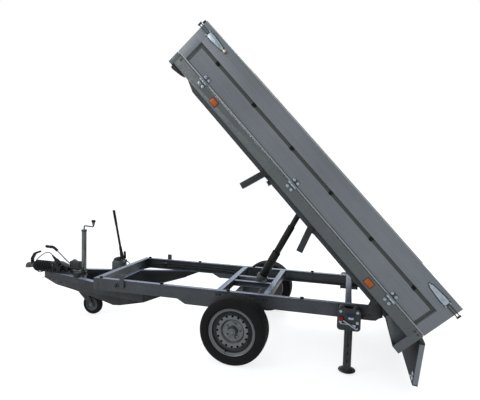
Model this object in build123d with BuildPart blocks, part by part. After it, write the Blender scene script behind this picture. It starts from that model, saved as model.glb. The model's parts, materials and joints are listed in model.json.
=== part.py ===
from build123d import *
from math import atan, cos, degrees, hypot, pi, radians, sin, sqrt, tan
import os

# Tipping trailer with one axle, standing with its bed raised and its tail board open.
# Millimetres. +X runs to the rear, +Z up, and -Y is the trailer's left side.
# The origin is the centre of the towing ball in the coupling.

# Heights of the main levels above the floor
ball_height = 405
rail_top_height = 493
floor_z = -ball_height

# Wheels and axle
axle_x = 2500
tyre_radius = 262
tyre_width = 190
tyre_outer_y = 757
bead_radius = 170
rim_radius = 182
rim_wall = 5
rim_lip = 9
bead_fit = 0.3
disc_inset = 52
disc_wall = 5
vent_count = 16
vent_radius = 9
vent_circle = 118
nut_count = 5
nut_circle = 56
nut_radius = 10
hub_cap_radius = 34
hub_cap_depth = 36
drum_radius = 100
drum_depth = 72
axle_tube = 80
axle_tube_ahead = 160
axle_tube_x = axle_x - axle_tube_ahead
arm_thick = 36
arm_tyre_gap = 11
axle_tube_half = tyre_outer_y - tyre_width - arm_tyre_gap - arm_thick
stub_radius = 15
shaft_fit = 0.05

# Chassis rails, pressed channels that open inwards
rail_y = 488
rail_depth = 105
rail_flange = 45
rail_wall = 4
rail_front_x = 1133
rail_length = 2387
rail_rear_x = rail_front_x + rail_length
lashing_hole_radius = 17
lashing_hole_x = rail_front_x + 232
cross_width = 48
cross_wall = 4
mid_cross_depth = 60
rear_cross_x = rail_rear_x - 180
doubler_drop = 40
doubler_from = -560
doubler_to = 215
doubler_slope = 75

# Rubber stops and side guides for the lowered bed
buffer_places = (64, 655, 1252, 1854)
buffer_radius = 15
buffer_height = 13
guide_x = rail_front_x + 287
guide_width = 43
guide_wall = 11
guide_rise = 51
guide_drop = 62

# Drawbar arms, deep folded plates that meet at the coupling
arm_front_x = 250
arm_front_y = 60
arm_rear_x = axle_x - 870
arm_rear_y = rail_y - 8
arm_tail_x = axle_x - 720
arm_wall = 5
arm_top_flange = 48
arm_low_flange = 26
# columns: share of the arm's length from its front, height above the floor of its lower edge
arm_lower_edge = ((0, 314), (0.138, 272), (0.341, 264), (0.643, 233), (0.732, 221), (0.797, 237), (1, 319))

# Coupling and overrun brake gear
ball_radius = 25
ball_fit = 0.15
socket_wall = 14
socket_throat = 14
socket_headroom = 0.3
neck_width = 52
neck_depth = 44
gaiter_front_x = 86
gaiter_rear_x = 298
gaiter_radius = 60
gaiter_fit = 2
gaiter_waist = 49
gaiter_folds = 7
gaiter_z = 12
housing_rear_x = 515
housing_foot_rear_x = 650
relay_x = 580
relay_length = 116
relay_width = 50
relay_rise = 97
relay_drop = 31
housing_width = 84
housing_height = 88
housing_foot = 8

# Jockey wheel
jockey_x = 738
jockey_y = -80
jockey_tube_radius = 24
jockey_tube_wall = 3
jockey_tube_top = 845
jockey_tube_bottom = 345
jockey_leg_radius = 20.5
jockey_leg_overlap = 200
jockey_trail = 108
jockey_wheel_radius = 103
jockey_wheel_width = 50
jockey_axle_radius = 8
jockey_fork_gap = 6
jockey_fork_wall = 5
swivel_gap = 0.3
crank_radius = 7
crank_reach = 108
knob_radius = 17

# Prop stands at the rear of the rails
stand_x = rail_rear_x - 174
stand_y = rail_y + 65
stand_tube_radius = 30
stand_tube_wall = 4
stand_tube_top = 470
stand_foot_radius = 64
stand_foot_height = 34
stand_cover_width = 168
stand_cover_wall = 6
stand_cover_top = 492
stand_cover_bottom = 330
stand_cover_corner = 26
stand_clamp_depth = 60

# Tipping pivot
pivot_rise = 49
pivot_pin_radius = 12
pivot_tube_radius = 22
pivot_fit = 0.08
pivot_x = rail_rear_x + 17
ear_wall = 8
ear_radius = 33
ear_side_gap = 2
tip_angle = 47.26

# Bed: u runs rearwards from the pivot along the bed, w up from the pivot
bed_rear_u = 291
bed_length = 2644
bed_half_width = 757
side_rail_low_w = 40
side_rail_top_w = 117
side_rail_flange = 40
side_rail_wall = 4
floor_wall = 3
front_bar_depth = 96
front_bar_width = 40
rear_bar_width = 61
rear_bar_low_w = -81
rear_bar_wall = 5
under_beam_low_w = -35
under_beam_width = 41
under_beam_wall = 4
under_beam_taper = 150
cross_beam_width = 40
cross_beam_wall = 3
cross_beam_first_u = bed_rear_u - 171
cross_beam_last_u = bed_rear_u - bed_length + 173
cross_beam_count = 7
gusset_y = bed_half_width - 117
gusset_wall = 6

# Boards round the bed
board_height = 305
board_gap = 5
side_board_wall = 30
side_board_recess = 6
recess_height = 160
recess_end = 80
head_board_wall = 30
tail_board_wall = 35
tail_open_angle = 139
side_hinge_out = 12
hinge_offsets = (319, bed_length / 2 + 7, bed_length - 314)
hinge_radius = 8
hinge_pin_radius = 4
hinge_fit = 0.1
hinge_leaf_wall = 4
hinge_leaf_height = 38
hinge_knuckle = 18
tail_hinge_count = 3
tail_hinge_spacing = bed_half_width - 237
tail_hinge_out = 11
latch_length = 200
latch_height = 337
latch_width = 26
latch_depth = 20
latch_hook = 28
latch_start = 100
reflector_places = (484, bed_length - 477)

# Folded arms that hang astride each wheel when the bed is down
# columns: place along the bed ahead of its rear edge, lean from square to the bed in degrees
wheel_arms = ((1546, 12.6), (1035, -24.4))
wheel_arm_length = 263
wheel_arm_width = 50
wheel_arm_inner_y = rail_y + 6
wheel_arm_outer_y = rail_y + 52
wheel_arm_wall = 4

# Telescopic ram
ram_foot_x = pivot_x - 1105
ram_foot_height = 252
mid_cross_x = (ram_foot_x - 129, ram_foot_x + 264)
ram_eye_u = -897
ram_eye_w = 10
ram_barrel_from = 30
ram_barrel_to = 319
ram_barrel_radius = 46
ram_collar_radius = 50
ram_collar_length = 28
ram_foot_pin_radius = 10
ram_eye_pin_radius = 8
ram_eye_radius = 19
ram_eye_width = 34
ram_eye_pin_reach = 10
ram_clearance = 0.3
# columns: outer radius, lower end and upper end of each stage from the foot pin, ram run out
ram_stage_one = (38, 289, 572)
ram_stage_two = (31, 548, 844)
ram_rod = (25, 762, 1062)
cradle_plate_gap = 58
cradle_plate_wall = 8
cradle_channel_width = 40
cradle_channel_inner = cradle_plate_gap + cradle_plate_wall
eye_cheek_wall = 8
eye_pin_gap = 5

# Hand pump on the right drawbar arm
pump_x = rail_front_x - 193
pump_y = 250
pump_radius = 78
pump_height = 124
pump_socket_radius = 20
pump_socket_rise = 66
pump_socket_length = 90
pump_lever_radius = 11
pump_lever_length = 400
pump_lever_lean = -12

# Towing cable with its plug, parked on the left drawbar arm
cable_diameter = 9
cable_clip_length = 26
cable_clip_width = 20
# columns: x, y and z of each point of the cable's route, from its clip to its plug
cable_points = (
    (316, -78, 0),
    (276, -78, 0),
    (238, -80, -27),
    (197, -82, -38),
    (160, -84, -16),
    (141, -85, 30),
    (155, -85, 82),
    (203, -84, 128),
    (250, -82, 162),
    (293, -80, 182),
    (331, -79, 180),
    (356, -78, 154.5),
)
# columns: start along the plug, length, radius at its start, radius at its end
plug_steps = ((0, 62, 7, 16), (62, 34, 21, 24), (96, 12, 27, 27))
plug_holder_depth = 18
plug_holder_length = 46
plug_holder_width = 40

# Worked out from the sizes above
wheel_z = floor_z + tyre_radius
wheel_mid_y = tyre_outer_y - tyre_width / 2
rail_top_z = floor_z + rail_top_height
rail_low_z = rail_top_z - rail_depth
housing_top_z = rail_low_z + housing_foot
pivot_z = rail_top_z + pivot_rise
bed_front_u = bed_rear_u - bed_length
board_low_w = side_rail_top_w + floor_wall + board_gap
board_top_w = board_low_w + board_height
side_hinge_w = board_low_w - board_gap
tail_hinge_u = bed_rear_u + tail_hinge_out
tail_hinge_w = side_rail_top_w - 22
board_inner_y = bed_half_width - side_board_wall
end_board_half = board_inner_y - board_gap - 1
hinge_bore = hinge_pin_radius + hinge_fit
cross_beam_pitch = (cross_beam_last_u - cross_beam_first_u) / (cross_beam_count - 1)
rear_bar_front_u = bed_rear_u - rear_bar_width
tail_hinge_half = tail_hinge_count // 2
tail_hinge_places = [place * tail_hinge_spacing for place in range(-tail_hinge_half, tail_hinge_half + 1)]
tip_cos = cos(radians(tip_angle))
tip_sin = sin(radians(tip_angle))
ram_foot_z = floor_z + ram_foot_height
ram_eye_x = pivot_x + ram_eye_u * tip_cos + ram_eye_w * tip_sin
ram_eye_z = pivot_z - ram_eye_u * tip_sin + ram_eye_w * tip_cos
ram_length = hypot(ram_eye_x - ram_foot_x, ram_eye_z - ram_foot_z)
ram_lean = degrees(atan((ram_eye_x - ram_foot_x) / (ram_eye_z - ram_foot_z)))

plug_from = Vector(*cable_points[-1])
plug_way = (plug_from - Vector(*cable_points[-2])).normalized()
plug_end = plug_from + plug_way * (plug_steps[-1][0] + plug_steps[-1][1])
plug_end_radius = plug_steps[-1][3]

LEFT = -1
RIGHT = 1
SIDES = (("left", LEFT), ("right", RIGHT))


def save(piece, name):
    piece.label = name
    export_step(piece, f"parts/{name}.step")


def side_view(x, z, turn=0, y=0):
    """A plane seen from the left: its own x runs rearwards and its own y runs up, both turned about Y."""
    turn_cos = cos(radians(turn))
    turn_sin = sin(radians(turn))
    return Plane(origin=(x, y, z), x_dir=(turn_cos, 0, -turn_sin), z_dir=(0, -1, 0))


def chassis_side(y=0):
    return side_view(0, 0, 0, y)


def bed_side(y=0):
    return side_view(pivot_x, pivot_z, tip_angle, y)


def bed_end(u):
    """A plane square to the bed's length, u behind the pivot, with its own x to the right."""
    return Plane(
        origin=(pivot_x + u * tip_cos, 0, pivot_z - u * tip_sin),
        x_dir=(0, 1, 0),
        z_dir=(tip_cos, 0, -tip_sin),
    )


def far_face(side, inner, outer):
    """The y where a slab between two distances from the middle starts, to be extruded towards -Y."""
    return outer if side == RIGHT else -inner


def tail_side(y=0):
    hinge_x = pivot_x + tail_hinge_u * tip_cos + tail_hinge_w * tip_sin
    hinge_z = pivot_z - tail_hinge_u * tip_sin + tail_hinge_w * tip_cos
    return side_view(hinge_x, hinge_z, tip_angle + tail_open_angle, y)


def ram_plane(distance):
    """A plane across the ram, at a distance from its foot pin."""
    lean = radians(ram_lean)
    return Plane(
        origin=(ram_foot_x + distance * sin(lean), 0, ram_foot_z + distance * cos(lean)),
        x_dir=(0, 1, 0),
        z_dir=(sin(lean), 0, cos(lean)),
    )


os.makedirs("parts", exist_ok=True)

# Chassis rails: channels, each with a round lashing hole
with BuildPart() as rails:
    start_x = rail_front_x + cross_width
    mid_z = rail_top_z - rail_depth / 2
    for side_name, side in SIDES:
        with BuildSketch(Plane.YZ.offset(start_x)):
            with Locations((side * (rail_y - rail_flange / 2), mid_z)):
                Rectangle(rail_flange, rail_depth)
            with Locations((side * (rail_y - rail_flange / 2 - rail_wall), mid_z)):
                Rectangle(rail_flange, rail_depth - 2 * rail_wall, mode=Mode.SUBTRACT)
        extrude(amount=rail_rear_x - start_x)
        with BuildSketch(chassis_side(far_face(side, rail_y - rail_wall, rail_y))):
            with Locations((lashing_hole_x, mid_z + 5)):
                Circle(lashing_hole_radius)
        extrude(amount=rail_wall, mode=Mode.SUBTRACT)
save(rails.part, "chassis_rails")

# Upright guides that centre the lowered bed
with BuildPart() as guides:
    for side_name, side in SIDES:
        with BuildSketch(chassis_side(far_face(side, rail_y, rail_y + guide_wall))):
            with Locations((guide_x, rail_top_z + (guide_rise - guide_drop) / 2)):
                Rectangle(guide_width, guide_rise + guide_drop)
        extrude(amount=guide_wall)
save(guides.part, "bed_guides")

# Front cross member: a channel as deep as the rails, open to the rear
with BuildPart() as front_cross:
    with BuildSketch(chassis_side()):
        with Locations((rail_front_x + cross_width / 2, rail_top_z - rail_depth / 2)):
            Rectangle(cross_width, rail_depth)
        with Locations((rail_front_x + cross_width / 2 + cross_wall, rail_top_z - rail_depth / 2)):
            Rectangle(cross_width, rail_depth - 2 * cross_wall, mode=Mode.SUBTRACT)
    extrude(amount=rail_y, both=True)
save(front_cross.part, "front_cross_member")

# Cross members at mid length and at the rear, channels with their flanges down
with BuildPart() as cross_members:
    with BuildSketch(chassis_side()):
        for cross_x in (*mid_cross_x, rear_cross_x):
            with Locations((cross_x, rail_top_z - mid_cross_depth / 2)):
                Rectangle(cross_width, mid_cross_depth)
            with Locations((cross_x, rail_top_z - mid_cross_depth / 2 - cross_wall)):
                Rectangle(cross_width - 2 * cross_wall, mid_cross_depth, mode=Mode.SUBTRACT)
    extrude(amount=rail_y - rail_flange, both=True)
save(cross_members.part, "cross_members")

# Drawbar arms: a tall web that deepens to the rear, folded in at its top and bottom
arm_slope = (arm_rear_y - arm_front_y) / (arm_rear_x - arm_front_x)
arm_stretch = sqrt(1 + arm_slope**2)
arm_length = (arm_rear_x - arm_front_x) * arm_stretch
lower = [(share * arm_length, floor_z + height) for share, height in arm_lower_edge]
upper_rear = (lower[-1][0], rail_low_z)
upper_front = (lower[0][0], rail_low_z)
raised = [(a, z + arm_wall) for a, z in lower]
with BuildPart() as arms:
    for side_name, side in SIDES:
        arm_plane = Plane(
            origin=(arm_front_x, side * arm_front_y, 0),
            x_dir=(1, side * arm_slope, 0),
            z_dir=(side * arm_slope, -1, 0),
        )
        with BuildSketch(arm_plane):
            with BuildLine():
                Polyline(*lower, upper_rear, upper_front, close=True)
            make_face()
        extrude(amount=-side * arm_wall)
        with BuildSketch(arm_plane):
            with BuildLine():
                Polyline(*lower, *reversed(raised), close=True)
            make_face()
        extrude(amount=side * arm_low_flange)
        with BuildSketch(arm_plane):
            with Locations(((upper_front[0] + upper_rear[0]) / 2, rail_low_z - arm_wall / 2)):
                Rectangle(upper_rear[0] - upper_front[0], arm_wall)
        extrude(amount=side * arm_top_flange)
        tail_y = far_face(side, arm_rear_y - arm_wall, arm_rear_y + 1)
        with BuildSketch(chassis_side(tail_y)):
            with BuildLine():
                Polyline(
                    (arm_rear_x - 20, lower[-1][1]),
                    (arm_rear_x, lower[-1][1]),
                    (arm_tail_x, rail_low_z - rail_wall),
                    (arm_tail_x, rail_low_z),
                    (arm_rear_x - 20, rail_low_z),
                    close=True,
                )
            make_face()
        extrude(amount=arm_wall + 1)
        with BuildSketch(Plane(origin=(gaiter_front_x, 0, gaiter_z), z_dir=(1, 0, 0))):
            Circle(gaiter_radius + gaiter_fit)
        extrude(amount=gaiter_rear_x - gaiter_front_x, mode=Mode.SUBTRACT)
save(arms.part, "drawbar_arms")

# Overrun housing across the front of the two arms, with the cable's clip and the holder for its parked plug
with BuildPart() as housing:
    with BuildSketch(chassis_side()):
        with BuildLine():
            Polyline(
                (gaiter_rear_x, rail_low_z + housing_foot),
                (gaiter_rear_x, rail_low_z + housing_height),
                (housing_rear_x - 120, rail_low_z + housing_height),
                (housing_rear_x, rail_low_z + housing_height / 2),
                (housing_rear_x, rail_low_z + housing_foot),
                close=True,
            )
        make_face()
    extrude(amount=housing_width / 2, both=True)
    with BuildSketch(Plane.XY.offset(rail_low_z)):
        with Locations(((gaiter_rear_x + housing_foot_rear_x) / 2, 0)):
            RectangleRounded(housing_foot_rear_x - gaiter_rear_x, 2 * arm_front_y + 120, 18)
    extrude(amount=housing_foot)
    with BuildSketch(Plane.XY.offset(housing_top_z)):
        with Locations((cable_points[0][0] + cable_clip_length / 2, cable_points[0][1])):
            Rectangle(cable_clip_length, cable_clip_width)
    extrude(amount=cable_points[0][2] + cable_diameter / 2 + 4 - housing_top_z)
    with BuildSketch(Plane(origin=plug_end, z_dir=plug_way)):
        Circle(plug_end_radius - 3)
    extrude(amount=plug_holder_depth)
    with BuildSketch(Plane.XY.offset(housing_top_z)):
        with Locations((plug_end.X + plug_way.X * plug_holder_depth / 2, plug_end.Y)):
            RectangleRounded(plug_holder_length, plug_holder_width, 4)
    extrude(amount=plug_end.Z - plug_end_radius - housing_top_z)
save(housing.part, "overrun_housing")

# Gaiter: a rubber bellows round the sliding shaft
with BuildPart() as gaiter:
    fold = (gaiter_rear_x - gaiter_front_x) / gaiter_folds
    with BuildSketch(chassis_side()):
        with BuildLine():
            crests = []
            for index in range(gaiter_folds):
                fold_x = gaiter_front_x + index * fold
                crests += [(fold_x, gaiter_z + gaiter_waist), (fold_x + fold / 2, gaiter_z + gaiter_radius)]
            crests.append((gaiter_rear_x, gaiter_z + gaiter_waist))
            Polyline((gaiter_front_x, gaiter_z), *crests, (gaiter_rear_x, gaiter_z), close=True)
        make_face()
    revolve(axis=Axis((0, 0, gaiter_z), (1, 0, 0)))
save(gaiter.part, "coupling_gaiter")

# Coupling head: a cup over the towing ball on a neck that runs back to the gaiter
socket_radius = ball_radius + ball_fit
with BuildPart() as head:
    with BuildSketch(Plane.XY.offset(-socket_throat)):
        Circle(socket_radius + socket_wall)
    extrude(amount=socket_throat)
    Sphere(socket_radius + socket_wall, arc_size1=0, align=(Align.CENTER, Align.CENTER, Align.MIN))
    with BuildSketch(chassis_side()):
        with BuildLine():
            Polyline(
                (0, -socket_throat + 4),
                (gaiter_front_x, gaiter_z - neck_depth / 2),
                (gaiter_front_x, gaiter_z + neck_depth / 2),
                (30, gaiter_z + neck_depth / 2 + 4),
                (0, socket_radius + socket_wall - 2),
                close=True,
            )
        make_face()
    extrude(amount=neck_width / 2, both=True)
    with BuildSketch(Plane.XY.offset(-socket_throat)):
        Circle(socket_radius)
    extrude(amount=socket_throat + ball_radius + socket_headroom, mode=Mode.SUBTRACT)
save(head.part, "coupling_head")

# Coupling handle: a bent strap that rises rearwards from the head
with BuildPart() as coupling_handle:
    with BuildSketch(chassis_side()):
        with BuildLine():
            base_z = gaiter_z + neck_depth / 2 + 4
            Polyline((46, base_z), (48, base_z + 40), (80, base_z + 92), (142, base_z + 118))
            Polyline((142, base_z + 118), (136, base_z + 136), (66, base_z + 110), (26, base_z + 48))
            Polyline((26, base_z + 48), (30, base_z), (46, base_z))
        make_face()
    extrude(amount=neck_width / 2 - 8, both=True)
    Sphere(socket_radius + socket_wall + socket_headroom, mode=Mode.SUBTRACT)
save(coupling_handle.part, "coupling_handle")

# Handbrake: a bent lever with a grip, on a box that holds its toothed arc and the brake relay
with BuildPart() as handbrake:
    with BuildLine(Plane.XZ) as lever_path:
        FilletPolyline(
            (relay_x - 20, relay_rise - 60),
            (506, 61),
            (378, 169),
            (303, 222),
            (216, 222),
            radius=24,
        )
    with BuildSketch(Plane(origin=lever_path.line @ 0, z_dir=lever_path.line % 0)):
        Circle(7)
    sweep(path=lever_path.line)
    with BuildSketch(Plane(origin=(216, 0, 222), z_dir=(1, 0, 0))):
        Circle(14)
    extrude(amount=84)
    relay_spans = (
        (rail_low_z + housing_foot, relay_rise - housing_foot),
        (rail_low_z - relay_drop, relay_drop),
    )
    for base_z, height in relay_spans:
        with BuildSketch(Plane.XY.offset(base_z)):
            with Locations((relay_x, 0)):
                RectangleRounded(relay_length, relay_width, 8)
        extrude(amount=height)
save(handbrake.part, "handbrake")

# Jockey wheel: an outer tube in a clamp, with a crank on top
tube_top_z = floor_z + jockey_tube_top
tube_low_z = floor_z + jockey_tube_bottom
with BuildPart() as jockey_tube:
    with BuildSketch(Plane.XY.offset(tube_low_z)):
        with Locations((jockey_x, jockey_y)):
            Circle(jockey_tube_radius)
            Circle(jockey_tube_radius - jockey_tube_wall, mode=Mode.SUBTRACT)
    extrude(amount=tube_top_z - tube_low_z)
    with BuildSketch(Plane.XY.offset(tube_top_z)):
        with Locations((jockey_x, jockey_y)):
            Circle(jockey_tube_radius + 4)
    extrude(amount=8)
    crank_z = tube_top_z + 8
    with BuildLine(chassis_side(jockey_y)) as crank_path:
        FilletPolyline(
            (jockey_x, crank_z),
            (jockey_x, crank_z + 38),
            (jockey_x + crank_reach, crank_z + 32),
            (jockey_x + crank_reach, crank_z + 52),
            radius=11,
        )
    with BuildSketch(Plane(origin=crank_path.line @ 0, z_dir=crank_path.line % 0)):
        Circle(crank_radius)
    sweep(path=crank_path.line)
    with BuildSketch(Plane.XY.offset(crank_z + 52)):
        with Locations((jockey_x + crank_reach, jockey_y)):
            Circle(knob_radius - 6)
    extrude(amount=36, taper=-10)
save(jockey_tube.part, "jockey_tube")

with BuildPart() as jockey_clamp:
    clamp_z = rail_low_z + 30
    arm_gap_y = arm_front_y + (jockey_x - arm_front_x) * arm_slope
    with BuildSketch(Plane.XY.offset(clamp_z - 30)):
        with Locations((jockey_x, jockey_y)):
            Circle(jockey_tube_radius + 9)
        with Locations((jockey_x, (jockey_y - arm_gap_y) / 2 - 4)):
            Rectangle(52, arm_gap_y + jockey_y - 8)
        with Locations((jockey_x, jockey_y)):
            Circle(jockey_tube_radius + 0.02, mode=Mode.SUBTRACT)
    extrude(amount=44)
save(jockey_clamp.part, "jockey_clamp")

leg_low_z = floor_z + 2 * jockey_wheel_radius + 44
with BuildPart() as jockey_leg:
    with BuildSketch(Plane.XY.offset(leg_low_z)):
        with Locations((jockey_x, jockey_y)):
            Circle(jockey_leg_radius)
    extrude(amount=tube_low_z + jockey_leg_overlap - leg_low_z)
save(jockey_leg.part, "jockey_leg")

jockey_axle_x = jockey_x + jockey_trail
jockey_axle_z = floor_z + jockey_wheel_radius
fork_inner = jockey_wheel_width / 2 + jockey_fork_gap
with BuildPart() as jockey_fork:
    with BuildSketch(Plane.XY.offset(leg_low_z - jockey_fork_wall - swivel_gap)):
        with Locations((jockey_x + 6, jockey_y)):
            RectangleRounded(84, 2 * (fork_inner + jockey_fork_wall), 14)
    extrude(amount=jockey_fork_wall)
    for side_name, side in SIDES:
        cheek_y = jockey_y + far_face(side, fork_inner, fork_inner + jockey_fork_wall)
        with BuildSketch(chassis_side(cheek_y)):
            with BuildLine():
                top_z = leg_low_z - swivel_gap
                Polyline(
                    (jockey_x - 36, top_z),
                    (jockey_x - 30, top_z - 40),
                    (jockey_axle_x - 14, jockey_axle_z - 8),
                    (jockey_axle_x + 12, jockey_axle_z - 10),
                    (jockey_axle_x + 16, jockey_axle_z + 10),
                    (jockey_x + 48, top_z),
                    close=True,
                )
            make_face()
        extrude(amount=jockey_fork_wall)
    with BuildSketch(chassis_side(jockey_y + fork_inner)):
        with Locations((jockey_axle_x, jockey_axle_z)):
            Circle(jockey_axle_radius)
    extrude(amount=2 * fork_inner)
save(jockey_fork.part, "jockey_fork")

with BuildPart() as jockey_wheel:
    with BuildSketch(Plane.YZ.offset(jockey_axle_x)):
        with Locations((jockey_y, jockey_axle_z + (jockey_wheel_radius + 62) / 2)):
            Rectangle(jockey_wheel_width, jockey_wheel_radius - 62)
        fillet(vertices().filter_by_position(Axis.Y, jockey_axle_z + 80, jockey_axle_z + 200), radius=16)
    revolve(axis=Axis((jockey_axle_x, 0, jockey_axle_z), (0, 1, 0)))
    with BuildSketch(Plane.YZ.offset(jockey_axle_x)):
        bore = jockey_axle_radius + shaft_fit
        with Locations((jockey_y, jockey_axle_z + (62 + bore) / 2)):
            Rectangle(14, 62 - bore)
        with Locations((jockey_y, jockey_axle_z + (22 + bore) / 2)):
            Rectangle(jockey_wheel_width + 2, 22 - bore)
    revolve(axis=Axis((jockey_axle_x, 0, jockey_axle_z), (0, 1, 0)))
save(jockey_wheel.part, "jockey_wheel")

# Hand pump: an oil tank with a round top, and a lever in its socket
lever_lean = radians(pump_lever_lean)
pump_socket = Plane(
    origin=(pump_x + 22, pump_y, rail_low_z + pump_height + pump_socket_rise),
    z_dir=(sin(lever_lean), 0, cos(lever_lean)),
)
with BuildPart() as pump:
    with BuildSketch(Plane.XY.offset(rail_low_z)):
        with Locations((pump_x, pump_y)):
            Circle(pump_radius)
    extrude(amount=pump_height - 44)
    with BuildSketch(Plane.XY.offset(rail_low_z + pump_height - 44)):
        with Locations((pump_x, pump_y)):
            Circle(pump_radius)
    extrude(amount=44, taper=38)
    with BuildSketch(Plane.XY.offset(rail_low_z + pump_height)):
        with Locations((pump_x, pump_y)):
            Circle(26)
    extrude(amount=14)
    with BuildSketch(pump_socket):
        Circle(pump_socket_radius)
    extrude(amount=-pump_socket_length)
save(pump.part, "hand_pump")

with BuildPart() as pump_lever:
    with BuildSketch(pump_socket):
        Circle(pump_lever_radius + 4)
    extrude(amount=60)
    with BuildSketch(pump_socket.offset(60)):
        Circle(pump_lever_radius)
    extrude(amount=pump_lever_length)
save(pump_lever.part, "pump_lever")

# Rubber stops on the rails
with BuildPart() as buffers:
    with BuildSketch(Plane.XY.offset(rail_top_z)):
        for side_name, side in SIDES:
            buffer_y = side * (rail_y - rail_flange / 2)
            with Locations([(rail_front_x + place, buffer_y) for place in buffer_places]):
                Circle(buffer_radius)
    extrude(amount=buffer_height)
save(buffers.part, "bed_buffers")

# Axle: a square tube under doubler plates, trailing arms and stubs
with BuildPart() as doublers:
    for side_name, side in SIDES:
        with BuildSketch(chassis_side(far_face(side, rail_y - rail_flange, rail_y))):
            with BuildLine():
                Polyline(
                    (axle_x + doubler_from, rail_low_z),
                    (axle_x + doubler_from + doubler_slope, rail_low_z - doubler_drop),
                    (axle_x + doubler_to - doubler_slope, rail_low_z - doubler_drop),
                    (axle_x + doubler_to, rail_low_z),
                    close=True,
                )
            make_face()
        extrude(amount=rail_flange)
save(doublers.part, "axle_doublers")

axle_tube_z = rail_low_z - doubler_drop - axle_tube / 2
with BuildPart() as axle:
    with BuildSketch(chassis_side(axle_tube_half)):
        with Locations((axle_tube_x, axle_tube_z)):
            RectangleRounded(axle_tube, axle_tube, 12)
            RectangleRounded(axle_tube - 10, axle_tube - 10, 8, mode=Mode.SUBTRACT)
    extrude(amount=2 * axle_tube_half)
save(axle.part, "axle_tube")

with BuildPart() as trailing_arms:
    for side_name, side in SIDES:
        with BuildSketch(chassis_side(far_face(side, axle_tube_half, axle_tube_half + arm_thick))):
            with BuildLine():
                dx = axle_x - axle_tube_x
                dz = wheel_z - axle_tube_z
                reach = hypot(dx, dz)
                nx = -dz / reach
                nz = dx / reach
                big = 42
                small = 30
                Polyline(
                    (axle_tube_x + nx * big, axle_tube_z + nz * big),
                    (axle_x + nx * small, wheel_z + nz * small),
                    (axle_x - nx * small, wheel_z - nz * small),
                    (axle_tube_x - nx * big, axle_tube_z - nz * big),
                    close=True,
                )
            make_face()
            with Locations((axle_x, wheel_z)):
                Circle(30)
            with Locations((axle_tube_x, axle_tube_z)):
                Circle(42)
        extrude(amount=arm_thick)
        stub_from = axle_tube_half + arm_thick
        stub_to = wheel_mid_y + 10
        with BuildSketch(chassis_side(far_face(side, stub_from, stub_to))):
            with Locations((axle_x, wheel_z)):
                Circle(stub_radius)
        extrude(amount=stub_to - stub_from)
save(trailing_arms.part, "axle_arms")

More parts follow.
